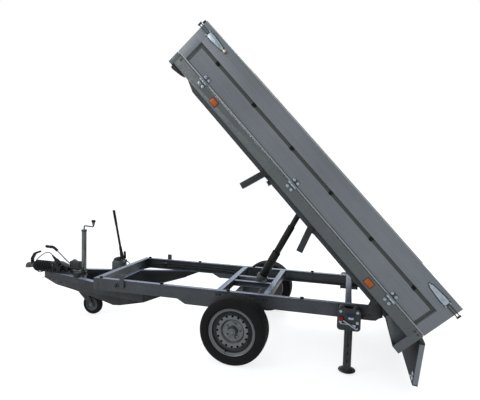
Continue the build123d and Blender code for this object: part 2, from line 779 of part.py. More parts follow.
# Road wheels: brake drum and hub, steel rim with a vented disc, and tyre
disc_y = tyre_outer_y - disc_inset
for side_name, side in SIDES:
    wheel_axis = Axis((axle_x, 0, wheel_z), (0, 1, 0))
    wheel_plane = Plane.YZ.offset(axle_x)
    hub_inner_y = axle_tube_half + arm_thick + 8
    with BuildPart() as hub:
        with BuildSketch(wheel_plane):
            with BuildLine():
                bore_z = wheel_z + stub_radius + shaft_fit
                bore_end = wheel_mid_y + 14
                Polyline(
                    (side * hub_inner_y, bore_z),
                    (side * hub_inner_y, wheel_z + drum_radius),
                    (side * (hub_inner_y + drum_depth), wheel_z + drum_radius),
                    (side * (hub_inner_y + drum_depth + 8), wheel_z + drum_radius - 22),
                    (side * (disc_y - disc_wall), wheel_z + 78),
                    (side * (disc_y - disc_wall), wheel_z),
                    (side * bore_end, wheel_z),
                    (side * bore_end, bore_z),
                    close=True,
                )
            make_face()
        revolve(axis=wheel_axis)
    save(hub.part, f"brake_drum_{side_name}")

    with BuildPart() as rim:
        with BuildSketch(wheel_plane):
            with BuildLine():
                flange_y = tyre_outer_y - 18
                back_y = flange_y - 150
                outline = [
                    (flange_y, rim_radius),
                    (flange_y - rim_lip, rim_radius),
                    (flange_y - rim_lip, bead_radius - 4),
                    (flange_y - 38, bead_radius - 6),
                    (flange_y - 54, bead_radius - 24),
                    (back_y + 46, bead_radius - 24),
                    (back_y + 30, bead_radius - 6),
                    (back_y + rim_lip, bead_radius - 4),
                    (back_y + rim_lip, rim_radius),
                    (back_y, rim_radius),
                    (back_y, bead_radius - 4 - rim_wall),
                    (back_y + 32, bead_radius - 6 - rim_wall),
                    (back_y + 48, bead_radius - 24 - rim_wall),
                    (flange_y - 56, bead_radius - 24 - rim_wall),
                    (flange_y - 40, bead_radius - 6 - rim_wall),
                    (flange_y - rim_lip + 4, bead_radius - 4 - rim_wall),
                ]
                Polyline(*[(side * y, wheel_z + r) for y, r in outline], close=True)
            make_face()
        revolve(axis=wheel_axis)
        with BuildSketch(wheel_plane):
            with BuildLine():
                dish = [
                    (disc_y - disc_wall, 0),
                    (disc_y - disc_wall, 80),
                    (disc_y + 14, 96),
                    (disc_y + 16, 122),
                    (flange_y - 64, bead_radius - 24 - rim_wall + 1),
                    (flange_y - 58, bead_radius - 24 - rim_wall + 1),
                    (disc_y + 22, 124),
                    (disc_y + 20, 94),
                    (disc_y, 80),
                    (disc_y, 40),
                    (disc_y + hub_cap_depth, hub_cap_radius - 6),
                    (disc_y + hub_cap_depth + 6, 0),
                ]
                Polyline(*[(side * y, wheel_z + r) for y, r in dish], close=True)
            make_face()
        revolve(axis=wheel_axis)
        with BuildSketch(side_view(axle_x, wheel_z, 0, far_face(side, disc_y - 30, disc_y + 40))):
            with PolarLocations(vent_circle, vent_count):
                Circle(vent_radius)
        extrude(amount=70, mode=Mode.SUBTRACT)
        with BuildSketch(side_view(axle_x, wheel_z, 0, far_face(side, disc_y, disc_y + 16))):
            with PolarLocations(nut_circle, nut_count):
                RegularPolygon(nut_radius, 6)
        extrude(amount=16)
    save(rim.part, f"wheel_rim_{side_name}")

    with BuildPart() as tyre:
        with BuildSketch(wheel_plane):
            half = tyre_width / 2
            seat = bead_radius - 4 + bead_fit
            bead_in = back_y + rim_lip + bead_fit
            bead_out = flange_y - rim_lip - bead_fit
            with BuildLine():
                profile = [
                    (bead_in, seat),
                    (bead_in, rim_radius + bead_fit),
                    (wheel_mid_y - half + 8, rim_radius + 6),
                    (wheel_mid_y - half, rim_radius + 28),
                    (wheel_mid_y - half + 12, tyre_radius - 14),
                    (wheel_mid_y - half + 34, tyre_radius),
                    (wheel_mid_y + half - 34, tyre_radius),
                    (wheel_mid_y + half - 12, tyre_radius - 14),
                    (wheel_mid_y + half, rim_radius + 28),
                    (wheel_mid_y + half - 8, rim_radius + 6),
                    (bead_out, rim_radius + bead_fit),
                    (bead_out, seat),
                ]
                Polyline(*[(side * y, wheel_z + r) for y, r in profile], close=True)
            make_face()
        revolve(axis=wheel_axis)
    save(tyre.part, f"tyre_{side_name}")

# Tipping ears: plates on both faces of each rail's end, and the pivot pins
with BuildPart() as ears:
    for side_name, side in SIDES:
        inner_ear = rail_y - rail_flange - ear_wall
        for near_y in (inner_ear, rail_y):
            with BuildSketch(chassis_side(far_face(side, near_y, near_y + ear_wall))):
                with BuildLine():
                    Polyline(
                        (rail_rear_x - 85, rail_low_z + 4),
                        (rail_rear_x + 18, rail_low_z + 4),
                        (rail_rear_x + 40, rail_low_z + 22),
                        (rail_rear_x + 68, rail_low_z + 34),
                        (pivot_x + ear_radius, pivot_z),
                        (pivot_x - ear_radius, pivot_z),
                        (rail_rear_x - 36, rail_top_z - 2),
                        (rail_rear_x - 85, rail_top_z - 2),
                        close=True,
                    )
                make_face()
                with Locations((pivot_x, pivot_z)):
                    Circle(ear_radius)
            extrude(amount=ear_wall)
        with BuildSketch(chassis_side(far_face(side, inner_ear - 6, rail_y + ear_wall + 8))):
            with Locations((pivot_x, pivot_z)):
                Circle(pivot_pin_radius)
        extrude(amount=rail_flange + 2 * ear_wall + 14)
save(ears.part, "tipping_ears")

# Prop stands: a folded cover on each rail holds a sliding tube with a domed foot
with BuildPart() as stand_covers:
    outer_y = stand_y + stand_tube_radius + 8 + stand_cover_wall
    height = stand_cover_top - stand_cover_bottom
    mid_z = floor_z + (stand_cover_top + stand_cover_bottom) / 2
    for side_name, side in SIDES:
        with BuildSketch(chassis_side(far_face(side, rail_y, outer_y))):
            with Locations((stand_x, mid_z)):
                RectangleRounded(stand_cover_width, height, stand_cover_corner)
        extrude(amount=outer_y - rail_y)
        with BuildSketch(chassis_side(far_face(side, rail_y, outer_y - stand_cover_wall))):
            with Locations((stand_x, mid_z - stand_cover_wall)):
                Rectangle(stand_cover_width - 2 * stand_cover_wall, height)
        extrude(amount=outer_y - rail_y - stand_cover_wall, mode=Mode.SUBTRACT)
        with BuildSketch(Plane.XY.offset(floor_z + stand_cover_bottom + 20)):
            with Locations((stand_x, side * (rail_y + outer_y - stand_cover_wall) / 2)):
                Rectangle(stand_cover_width - 2 * stand_cover_wall, outer_y - rail_y - stand_cover_wall)
            with Locations((stand_x, side * stand_y)):
                Circle(stand_tube_radius + ram_clearance, mode=Mode.SUBTRACT)
        extrude(amount=stand_clamp_depth)
        with BuildSketch(Plane.XY.offset(floor_z + stand_cover_top - stand_cover_wall)):
            with Locations((stand_x, side * stand_y)):
                Circle(stand_tube_radius + 6)
        extrude(amount=stand_cover_wall, mode=Mode.SUBTRACT)
save(stand_covers.part, "prop_brackets")

for side_name, side in SIDES:
    with BuildPart() as stand_leg:
        with BuildSketch(Plane.XY.offset(floor_z + stand_foot_height - 10)):
            with Locations((stand_x, side * stand_y)):
                Circle(stand_tube_radius)
                Circle(stand_tube_radius - stand_tube_wall, mode=Mode.SUBTRACT)
        extrude(amount=stand_tube_top - stand_foot_height + 10)
        with BuildSketch(Plane.YZ.offset(stand_x)):
            with BuildLine():
                foot_y = side * stand_y
                Polyline(
                    (foot_y, floor_z),
                    (foot_y + 34, floor_z),
                    (foot_y + stand_foot_radius, floor_z + 16),
                    (foot_y + stand_foot_radius, floor_z + 21),
                    (foot_y + 36, floor_z + stand_foot_height),
                    (foot_y, floor_z + stand_foot_height),
                    close=True,
                )
            make_face()
        revolve(axis=Axis((stand_x, side * stand_y, 0), (0, 0, 1)))
    save(stand_leg.part, f"prop_leg_{side_name}")

# Ram cradle: two channels between the mid cross members, with plates that hang to the foot pin
with BuildPart() as cradle:
    span_from = mid_cross_x[0] + cross_width / 2
    span_to = mid_cross_x[1] - cross_width / 2
    for side_name, side in SIDES:
        channel_z = rail_top_z - mid_cross_depth / 2
        with BuildSketch(Plane.YZ.offset(span_from)):
            channel_y = cradle_channel_inner + cradle_channel_width / 2
            with Locations((side * channel_y, channel_z)):
                Rectangle(cradle_channel_width, mid_cross_depth - 10)
            with Locations((side * (channel_y + cross_wall), channel_z)):
                Rectangle(cradle_channel_width, mid_cross_depth - 10 - 2 * cross_wall, mode=Mode.SUBTRACT)
        extrude(amount=span_to - span_from)
        plate_y = far_face(side, cradle_plate_gap, cradle_plate_gap + cradle_plate_wall)
        with BuildSketch(chassis_side(plate_y)):
            with BuildLine():
                Polyline(
                    (ram_foot_x - 28, rail_top_z - 10),
                    (ram_foot_x - 28, ram_foot_z - 32),
                    (ram_foot_x + 28, ram_foot_z - 32),
                    (ram_foot_x + 150, rail_top_z - mid_cross_depth + 10),
                    (ram_foot_x + 150, rail_top_z - 10),
                    close=True,
                )
            make_face()
        extrude(amount=cradle_plate_wall)
    with BuildSketch(chassis_side(cradle_plate_gap)):
        with Locations((ram_foot_x, ram_foot_z)):
            Circle(ram_foot_pin_radius)
    extrude(amount=2 * cradle_plate_gap)
save(cradle.part, "ram_cradle")

# Telescopic ram: barrel, two hollow stages and a rod with an eye and its pin
with BuildPart() as barrel:
    with BuildSketch(ram_plane(ram_barrel_from)):
        Circle(ram_barrel_radius)
    extrude(amount=ram_barrel_to - ram_barrel_from)
    with BuildSketch(ram_plane(ram_barrel_to - ram_collar_length)):
        Circle(ram_collar_radius)
    extrude(amount=ram_collar_length)
    with BuildSketch(ram_plane(ram_barrel_from + 12)):
        Circle(ram_stage_one[0] + ram_clearance)
    extrude(amount=ram_barrel_to - ram_barrel_from, mode=Mode.SUBTRACT)
    with BuildSketch(side_view(ram_foot_x, ram_foot_z, ram_lean)):
        Circle(ram_foot_pin_radius + 14)
        with Locations((0, (ram_barrel_from + 4) / 2)):
            Rectangle(2 * ram_foot_pin_radius + 28, ram_barrel_from + 4)
        Circle(ram_foot_pin_radius + pivot_fit, mode=Mode.SUBTRACT)
    extrude(amount=22, both=True)
save(barrel.part, "ram_barrel")

for stage_name, stage, bore in (
    ("ram_stage_one", ram_stage_one, ram_stage_two[0] + ram_clearance),
    ("ram_stage_two", ram_stage_two, ram_rod[0] + ram_clearance),
):
    outer, low_end, top_end = stage
    with BuildPart() as ram_tube:
        with BuildSketch(ram_plane(low_end)):
            Circle(outer)
            Circle(bore, mode=Mode.SUBTRACT)
        extrude(amount=top_end - low_end)
    save(ram_tube.part, stage_name)

with BuildPart() as rod:
    with BuildSketch(ram_plane(ram_rod[1])):
        Circle(ram_rod[0])
    extrude(amount=ram_rod[2] - ram_rod[1])
    with BuildSketch(side_view(ram_eye_x, ram_eye_z, ram_lean)):
        Circle(ram_eye_radius)
        with Locations((0, -ram_eye_radius / 2)):
            Rectangle(2 * ram_eye_radius, ram_length - ram_rod[2])
    extrude(amount=ram_eye_width / 2, both=True)
    with BuildSketch(side_view(ram_eye_x, ram_eye_z, ram_lean)):
        Circle(ram_eye_pin_radius)
    extrude(amount=ram_eye_width / 2 + ram_eye_pin_reach, both=True)
save(rod.part, "ram_rod")

# Bed frame: side rails between a front bar and a deep rear bar, with the boards' fixed hinge leaves
with BuildPart() as side_rails:
    rail_height = side_rail_top_w - side_rail_low_w
    mid_w = (side_rail_top_w + side_rail_low_w) / 2
    hinge_y = bed_half_width + side_hinge_out
    leaf_w = side_hinge_w - 14 - hinge_leaf_height / 2
    pin_length = 3 * hinge_knuckle + 2
    for side_name, side in SIDES:
        with BuildSketch(bed_end(bed_front_u + front_bar_width)):
            with Locations((side * (bed_half_width - side_rail_flange / 2), mid_w)):
                Rectangle(side_rail_flange, rail_height)
            with Locations((side * (bed_half_width - side_rail_flange / 2 - side_rail_wall), mid_w)):
                Rectangle(side_rail_flange, rail_height - 2 * side_rail_wall, mode=Mode.SUBTRACT)
        extrude(amount=bed_length - front_bar_width - rear_bar_width)
        for ahead in hinge_offsets:
            with BuildSketch(bed_end(bed_rear_u - ahead - hinge_knuckle / 2)):
                with Locations((side * (bed_half_width + hinge_leaf_wall / 2), leaf_w)):
                    Rectangle(hinge_leaf_wall, hinge_leaf_height)
                with BuildLine():
                    Polyline(
                        (side * bed_half_width, side_hinge_w - 14),
                        (side * (bed_half_width + hinge_leaf_wall), side_hinge_w - 16),
                        (side * (hinge_y + 5), side_hinge_w - 5),
                        (side * (hinge_y - 5), side_hinge_w + 2),
                        close=True,
                    )
                make_face()
                with Locations((side * hinge_y, side_hinge_w)):
                    Circle(hinge_radius)
            extrude(amount=hinge_knuckle)
            with BuildSketch(bed_end(bed_rear_u - ahead - pin_length / 2)):
                with Locations((side * hinge_y, side_hinge_w)):
                    Circle(hinge_pin_radius)
            extrude(amount=pin_length)
save(side_rails.part, "bed_side_rails")

with BuildPart() as front_bar:
    with BuildSketch(bed_side()):
        bar_mid = (bed_front_u + front_bar_width / 2, side_rail_top_w - front_bar_depth / 2)
        with Locations(bar_mid):
            Rectangle(front_bar_width, front_bar_depth)
            Rectangle(front_bar_width - 8, front_bar_depth - 8, mode=Mode.SUBTRACT)
    extrude(amount=bed_half_width, both=True)
save(front_bar.part, "bed_front_bar")

with BuildPart() as rear_bar:
    with BuildSketch(bed_side()):
        bar_top_w = side_rail_top_w + floor_wall
        bar_depth = bar_top_w - rear_bar_low_w
        with Locations((bed_rear_u - rear_bar_width / 2, bar_top_w - bar_depth / 2)):
            Rectangle(rear_bar_width, bar_depth)
        with Locations((bed_rear_u - rear_bar_width / 2 - rear_bar_wall, bar_top_w - bar_depth / 2)):
            Rectangle(rear_bar_width, bar_depth - 2 * rear_bar_wall, mode=Mode.SUBTRACT)
    extrude(amount=bed_half_width, both=True)
    for side_name, side in SIDES:
        with BuildSketch(bed_side(far_face(side, gusset_y, gusset_y + gusset_wall))):
            with BuildLine():
                Polyline(
                    (cross_beam_first_u - cross_beam_width / 2, side_rail_low_w),
                    (cross_beam_first_u - cross_beam_width / 2 - 20, 4),
                    (rear_bar_front_u, rear_bar_low_w + rear_bar_wall),
                    (bed_rear_u - rear_bar_wall, rear_bar_low_w + rear_bar_wall),
                    (bed_rear_u - rear_bar_wall, side_rail_low_w),
                    close=True,
                )
            make_face()
        extrude(amount=gusset_wall)
    for place in tail_hinge_places:
        with BuildSketch(bed_side(place + hinge_knuckle / 2)):
            with Locations((bed_rear_u + hinge_leaf_wall / 2, tail_hinge_w - 10 - hinge_leaf_height / 2)):
                Rectangle(hinge_leaf_wall, hinge_leaf_height)
            with BuildLine():
                Polyline(
                    (bed_rear_u, tail_hinge_w - 10),
                    (bed_rear_u + hinge_leaf_wall, tail_hinge_w - 12),
                    (tail_hinge_u + 5, tail_hinge_w - 5),
                    (tail_hinge_u - 5, tail_hinge_w + 2),
                    close=True,
                )
            make_face()
            with Locations((tail_hinge_u, tail_hinge_w)):
                Circle(hinge_radius)
        extrude(amount=hinge_knuckle)
        with BuildSketch(bed_side(place + pin_length / 2)):
            with Locations((tail_hinge_u, tail_hinge_w)):
                Circle(hinge_pin_radius)
        extrude(amount=pin_length)
save(rear_bar.part, "bed_rear_bar")

# Under beams rest on the rails' buffers and carry the pivot tubes
beam_outer = rail_y - ear_side_gap
beam_inner = beam_outer - under_beam_width
with BuildPart() as under_beams:
    for side_name, side in SIDES:
        with BuildSketch(bed_side(far_face(side, beam_inner, beam_outer))):
            beam_front = bed_front_u + front_bar_width
            with BuildLine():
                Polyline(
                    (beam_front, side_rail_low_w),
                    (beam_front, side_rail_low_w - 22),
                    (beam_front + under_beam_taper, under_beam_low_w),
                    (rear_bar_front_u, under_beam_low_w),
                    (rear_bar_front_u, side_rail_low_w),
                    close=True,
                )
            make_face()
        extrude(amount=under_beam_width)
        hollow_y = far_face(side, beam_inner, beam_outer - under_beam_wall)
        with BuildSketch(bed_side(hollow_y)):
            with BuildLine():
                Polyline(
                    (beam_front, side_rail_low_w - under_beam_wall),
                    (beam_front, side_rail_low_w - 22 + under_beam_wall),
                    (beam_front + under_beam_taper, under_beam_low_w + under_beam_wall),
                    (rear_bar_front_u, under_beam_low_w + under_beam_wall),
                    (rear_bar_front_u, side_rail_low_w - under_beam_wall),
                    close=True,
                )
            make_face()
        extrude(amount=under_beam_width - under_beam_wall, mode=Mode.SUBTRACT)
        with BuildSketch(bed_side(far_face(side, beam_inner, beam_outer))):
            Circle(pivot_tube_radius)
        extrude(amount=under_beam_width)
        with BuildSketch(bed_side(far_face(side, beam_inner, beam_outer))):
            Circle(pivot_pin_radius + pivot_fit)
        extrude(amount=under_beam_width, mode=Mode.SUBTRACT)
save(under_beams.part, "bed_under_beams")

# Cross beams carry the floor between the side rails
with BuildPart() as cross_beams:
    with BuildSketch(bed_side()):
        for index in range(cross_beam_count):
            with Locations((cross_beam_first_u + index * cross_beam_pitch, mid_w)):
                Rectangle(cross_beam_width, rail_height)
            with Locations((cross_beam_first_u + index * cross_beam_pitch + cross_beam_wall, mid_w)):
                Rectangle(cross_beam_width, rail_height - 2 * cross_beam_wall, mode=Mode.SUBTRACT)
    extrude(amount=bed_half_width - side_rail_flange, both=True)
save(cross_beams.part, "bed_cross_beams")

# The floor sheet lies between the boards
with BuildPart() as bed_floor:
    floor_front_u = bed_front_u + head_board_wall + 1
    with BuildSketch(bed_side()):
        with Locations(((floor_front_u + rear_bar_front_u) / 2, side_rail_top_w + floor_wall / 2)):
            Rectangle(rear_bar_front_u - floor_front_u, floor_wall)
    extrude(amount=board_inner_y - 1, both=True)
save(bed_floor.part, "bed_floor")

# Deep plates between two cross beams take the ram's eye
with BuildPart() as cheeks:
    cheek_inner = ram_eye_width / 2 + ram_eye_pin_reach + eye_pin_gap
    cheek_front_u = cross_beam_first_u + 3 * cross_beam_pitch + cross_beam_width / 2
    cheek_rear_u = cross_beam_first_u + 2 * cross_beam_pitch - cross_beam_width / 2
    for side_name, side in SIDES:
        with BuildSketch(bed_side(far_face(side, cheek_inner, cheek_inner + eye_cheek_wall))):
            with BuildLine():
                Polyline(
                    (cheek_front_u, side_rail_top_w),
                    (cheek_front_u, side_rail_low_w + 10),
                    (ram_eye_u - 26, ram_eye_w - 18),
                    (ram_eye_u + 26, ram_eye_w - 18),
                    (cheek_rear_u, side_rail_low_w + 10),
                    (cheek_rear_u, side_rail_top_w),
                    close=True,
                )
            make_face()
            with Locations((ram_eye_u, ram_eye_w)):
                Circle(ram_eye_pin_radius + 0.5, mode=Mode.SUBTRACT)
        extrude(amount=eye_cheek_wall)
save(cheeks.part, "ram_eye_cheeks")

# Folded arms astride the wheels
with BuildPart() as guards:
    for side_name, side in SIDES:
        for ahead, lean in wheel_arms:
            foot_u = bed_rear_u - ahead
            lean_sin = sin(radians(lean))
            lean_cos = cos(radians(lean))
            arm_level = Plane(
                origin=bed_side().from_local_coords(Vector(foot_u, side_rail_low_w, 0)),
                x_dir=(0, 1, 0),
                z_dir=-(bed_side().x_dir * lean_sin + bed_side().y_dir * lean_cos),
            )
            mid_y = side * (wheel_arm_inner_y + wheel_arm_outer_y) / 2
            depth = wheel_arm_outer_y - wheel_arm_inner_y
            with BuildSketch(arm_level):
                with Locations((mid_y, 0)):
                    Rectangle(depth, wheel_arm_width)
                with Locations((mid_y - side * wheel_arm_wall, 0)):
                    Rectangle(depth, wheel_arm_width - 2 * wheel_arm_wall, mode=Mode.SUBTRACT)
            extrude(amount=wheel_arm_length)
            with BuildSketch(bed_side(far_face(side, beam_outer, wheel_arm_inner_y))):
                with Locations((foot_u, (under_beam_low_w + side_rail_low_w) / 2 + 2)):
                    Rectangle(wheel_arm_width, side_rail_low_w - under_beam_low_w - 4)
            extrude(amount=wheel_arm_inner_y - beam_outer)
save(guards.part, "wheel_guard_arms")

# Boards: each side board drops on hinges below its outer face
for side_name, side in SIDES:
    with BuildPart() as side_board:
        with BuildSketch(bed_side(far_face(side, board_inner_y, bed_half_width))):
            with Locations(((bed_front_u + bed_rear_u) / 2, (board_low_w + board_top_w) / 2)):
                Rectangle(bed_length, board_height)
        extrude(amount=side_board_wall)
        recess_y = far_face(side, bed_half_width - side_board_recess, bed_half_width)
        with BuildSketch(bed_side(recess_y)):
            with Locations(((bed_front_u + bed_rear_u) / 2, board_low_w + recess_height / 2)):
                Rectangle(bed_length - 2 * recess_end, recess_height)
        extrude(amount=side_board_recess, mode=Mode.SUBTRACT)
    save(side_board.part, f"side_board_{side_name}")

with BuildPart() as head_board:
    with BuildSketch(bed_side()):
        with Locations((bed_front_u + head_board_wall / 2, (side_rail_top_w + board_top_w) / 2)):
            Rectangle(head_board_wall, board_top_w - side_rail_top_w)
    extrude(amount=end_board_half, both=True)
save(head_board.part, "head_board")

# Tail board, drawn in its own frame: its hinge is the zero point and up is towards its free edge
with BuildPart() as tail_board:
    board_from = board_low_w - tail_hinge_w
    with BuildSketch(tail_side()):
        with Locations((-1 - tail_board_wall / 2, board_from + board_height / 2)):
            Rectangle(tail_board_wall, board_height)
    extrude(amount=end_board_half, both=True)
    for place in tail_hinge_places:
        for shift in (-hinge_knuckle - 1, hinge_knuckle + 1):
            with BuildSketch(tail_side(place + shift + hinge_knuckle / 2)):
                with Locations((1, 14 + hinge_leaf_height / 2)):
                    Rectangle(4, hinge_leaf_height + 24)
                Circle(hinge_radius)
                Circle(hinge_bore, mode=Mode.SUBTRACT)
            extrude(amount=hinge_knuckle)
save(tail_board.part, "tail_board")

# Turning hinge leaves and latches on the side boards
for side_name, side in SIDES:
    with BuildPart() as side_fittings:
        face_y = bed_half_width - side_board_recess
        for ahead in hinge_offsets:
            for shift in (-hinge_knuckle - 1, hinge_knuckle + 1):
                with BuildSketch(bed_end(bed_rear_u - ahead + shift - hinge_knuckle / 2)):
                    with Locations((side * (face_y + 3), side_hinge_w + 14 + hinge_leaf_height / 2)):
                        Rectangle(6, hinge_leaf_height)
                    with BuildLine():
                        Polyline(
                            (side * face_y, side_hinge_w + 14),
                            (side * (face_y + 6), side_hinge_w + 16),
                            (side * (hinge_y + 5), side_hinge_w + 5),
                            (side * (hinge_y - 5), side_hinge_w + 2),
                            close=True,
                        )
                    make_face()
                    with Locations((side * hinge_y, side_hinge_w)):
                        Circle(hinge_radius)
                        Circle(hinge_bore, mode=Mode.SUBTRACT)
                extrude(amount=hinge_knuckle)
        latch_w = side_rail_low_w + latch_height
        for end, edge_u in ((-1, bed_front_u), (1, bed_rear_u)):
            body_from = edge_u - end * latch_start
            with BuildSketch(bed_side(far_face(side, bed_half_width, bed_half_width + latch_depth))):
                with Locations((body_from - end * latch_length / 2, latch_w)):
                    Rectangle(latch_length, latch_width)
            extrude(amount=latch_depth)
            with BuildSketch(bed_side(far_face(side, bed_half_width, bed_half_width + 6))):
                with Locations((edge_u + end * (latch_hook - latch_start) / 2, latch_w)):
                    Rectangle(latch_hook + latch_start, latch_width)
            extrude(amount=6)
            with BuildSketch(bed_side(far_face(side, end_board_half + 14, bed_half_width + 6))):
                with Locations((edge_u + end * (latch_hook - 4), latch_w)):
                    Rectangle(8, latch_width)
            extrude(amount=bed_half_width + 6 - end_board_half - 14)
    save(side_fittings.part, f"side_fittings_{side_name}")

# Lamps in the rear bar and orange reflectors on the side rails
with BuildPart() as lamps:
    for side_name, side in SIDES:
        with BuildSketch(bed_end(bed_rear_u)):
            with Locations((side * (bed_half_width - 127), rear_bar_low_w + 42)):
                RectangleRounded(210, 54, 10)
        extrude(amount=5)
save(lamps.part, "rear_lamps")

with BuildPart() as reflectors:
    for side_name, side in SIDES:
        with BuildSketch(bed_side(far_face(side, bed_half_width, bed_half_width + 5))):
            for ahead in reflector_places:
                with Locations((bed_rear_u - ahead, (side_rail_low_w + side_rail_top_w) / 2)):
                    Rectangle(62, 40)
        extrude(amount=5)
save(reflectors.part, "side_reflectors")

# Towing cable: it leaves its clip, loops past the gaiter and ends in the parked plug
cable_radii = []
for before, corner, after in zip(cable_points, cable_points[1:], cable_points[2:]):
    run_in = Vector(*corner) - Vector(*before)
    run_out = Vector(*after) - Vector(*corner)
    turn = run_in.get_angle(run_out)
    cable_radii.append(0.45 * min(run_in.length, run_out.length) / tan(radians(turn / 2)))
with BuildPart() as cable:
    with BuildLine() as cable_path:
        FilletPolyline(*cable_points, radius=cable_radii)
    with BuildSketch(Plane(origin=cable_path.line @ 0, z_dir=cable_path.line % 0)):
        Circle(cable_diameter / 2)
    sweep(path=cable_path.line)
save(cable.part, "cable")
print("cable radii", [round(radius) for radius in cable_radii])
cable_length = sum(edge.length for edge in cable_path.edges())
print("cable length", round(cable_length, 1))
print("cable volume share", cable.part.volume / (cable_length * pi * cable_diameter**2 / 4))

with BuildPart() as plug:
    for start, length, near_radius, far_radius in plug_steps:
        loft_from = Plane(origin=plug_from + plug_way * start, z_dir=plug_way)
        with BuildSketch(loft_from):
            Circle(near_radius)
        with BuildSketch(loft_from.offset(length)):
            Circle(far_radius)
        loft()
save(plug.part, "cable_plug")
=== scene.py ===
import bpy
import json
from math import cos, pi, radians, sin, tau
from mathutils import Matrix, Vector

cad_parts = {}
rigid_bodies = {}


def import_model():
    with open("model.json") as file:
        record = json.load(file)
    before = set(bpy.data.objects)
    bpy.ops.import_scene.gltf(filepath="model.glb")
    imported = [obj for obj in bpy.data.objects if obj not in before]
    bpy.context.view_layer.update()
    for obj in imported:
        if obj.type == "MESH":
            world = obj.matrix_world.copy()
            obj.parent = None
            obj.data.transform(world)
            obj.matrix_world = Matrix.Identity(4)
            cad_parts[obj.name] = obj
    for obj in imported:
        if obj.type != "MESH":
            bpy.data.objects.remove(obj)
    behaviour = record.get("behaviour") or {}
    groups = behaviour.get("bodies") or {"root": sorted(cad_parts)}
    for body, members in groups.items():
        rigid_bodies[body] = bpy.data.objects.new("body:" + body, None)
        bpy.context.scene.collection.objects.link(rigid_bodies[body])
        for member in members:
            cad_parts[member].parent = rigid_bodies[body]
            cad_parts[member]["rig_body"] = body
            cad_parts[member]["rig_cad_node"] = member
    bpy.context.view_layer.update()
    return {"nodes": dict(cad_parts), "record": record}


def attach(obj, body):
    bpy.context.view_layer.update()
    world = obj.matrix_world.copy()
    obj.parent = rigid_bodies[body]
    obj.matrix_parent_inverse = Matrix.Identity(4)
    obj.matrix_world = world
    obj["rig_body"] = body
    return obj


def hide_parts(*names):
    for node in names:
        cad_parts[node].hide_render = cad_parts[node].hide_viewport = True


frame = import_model()
cad = frame["nodes"]
bpy.ops.object.select_all(action="DESELECT")

# Main places of the trailer, in metres: +X to the rear, -Y to its left, +Z up, zero at the towing ball
FLOOR = -0.405
PIVOT = Vector((3.537, 0, 0.137))
TIP = radians(47.26)
TAIL_OPEN = radians(139)
WHEEL_X = 2.5
WHEEL_Z = -0.143
WHEEL_MID_Y = 0.662
RAIL_Y = 0.488
LASHING_X = 1.365
LASHING_Z = 0.035
RAM_FOOT = Vector((2.432, 0, -0.153))
RAM_LEAN = radians(27.7885)
SIDES = (("left", -1), ("right", 1))


def turned(place, angle):
    """Local x and z turned about Y by an angle, with their zero at a place."""
    return Matrix.Translation(place) @ Matrix.Rotation(angle, 4, "Y")


LEVEL = Matrix.Identity(4)
ON_BED = turned(PIVOT, TIP)
TAIL_HINGE = ON_BED @ Vector((0.302, 0, 0.095))
ON_TAIL = turned(TAIL_HINGE, TIP + TAIL_OPEN)
ON_RAM = turned(RAM_FOOT, RAM_LEAN)


# Finishes

def shader(material, kind, settings=None, **inputs):
    made = material.node_tree.nodes.new("ShaderNode" + kind)
    for name, value in (settings or {}).items():
        setattr(made, name, value)
    for name, value in inputs.items():
        made.inputs[name.replace("_", " ")].default_value = value
    return made


def tint(colour, factor=1.0):
    return (*(min(1.0, part * factor) for part in colour), 1.0)


def new_finish(name, roughness, metallic, specular=0.5):
    material = bpy.data.materials.new(name)
    material.use_nodes = True
    surface = material.node_tree.nodes["Principled BSDF"]
    surface.inputs["Roughness"].default_value = roughness
    surface.inputs["Metallic"].default_value = metallic
    surface.inputs["Specular IOR Level"].default_value = specular
    coordinates = shader(material, "TexCoord").outputs["Object"]
    return material, surface, coordinates


def mottle(material, surface, colour, low, high, coordinates, scale, detail=4.0):
    """Colour that drifts between two strengths, in patches."""
    links = material.node_tree.links
    patches = shader(material, "TexNoise", Scale=scale, Detail=detail, Roughness=0.6)
    ramp = shader(material, "ValToRGB")
    for element, place, strength in zip(ramp.color_ramp.elements, (0.3, 0.72), (low, high)):
        element.position = place
        element.color = tint(colour, strength)
    links.new(coordinates, patches.inputs["Vector"])
    links.new(patches.outputs["Fac"], ramp.inputs["Fac"])
    links.new(ramp.outputs["Color"], surface.inputs["Base Color"])
    return ramp.outputs["Color"]


def vary_roughness(material, surface, source, low, high):
    links = material.node_tree.links
    spread = shader(material, "MapRange", To_Min=low, To_Max=high)
    links.new(source, spread.inputs["Value"])
    links.new(spread.outputs["Result"], surface.inputs["Roughness"])


def raise_grain(material, surface, source, strength, depth):
    links = material.node_tree.links
    bump = shader(material, "Bump", Strength=strength, Distance=depth)
    links.new(source, bump.inputs["Height"])
    links.new(bump.outputs["Normal"], surface.inputs["Normal"])


def lifted(material, colour, source, **limits):
    """A colour made lighter and darker by a value that runs between limits."""
    links = material.node_tree.links
    lift = shader(material, "MapRange", **limits)
    brighten = shader(material, "VectorMath", {"operation": "SCALE"})
    links.new(source, lift.inputs["Value"])
    links.new(colour, brighten.inputs["Vector"])
    links.new(lift.outputs["Result"], brighten.inputs["Scale"])
    return brighten.outputs["Vector"]


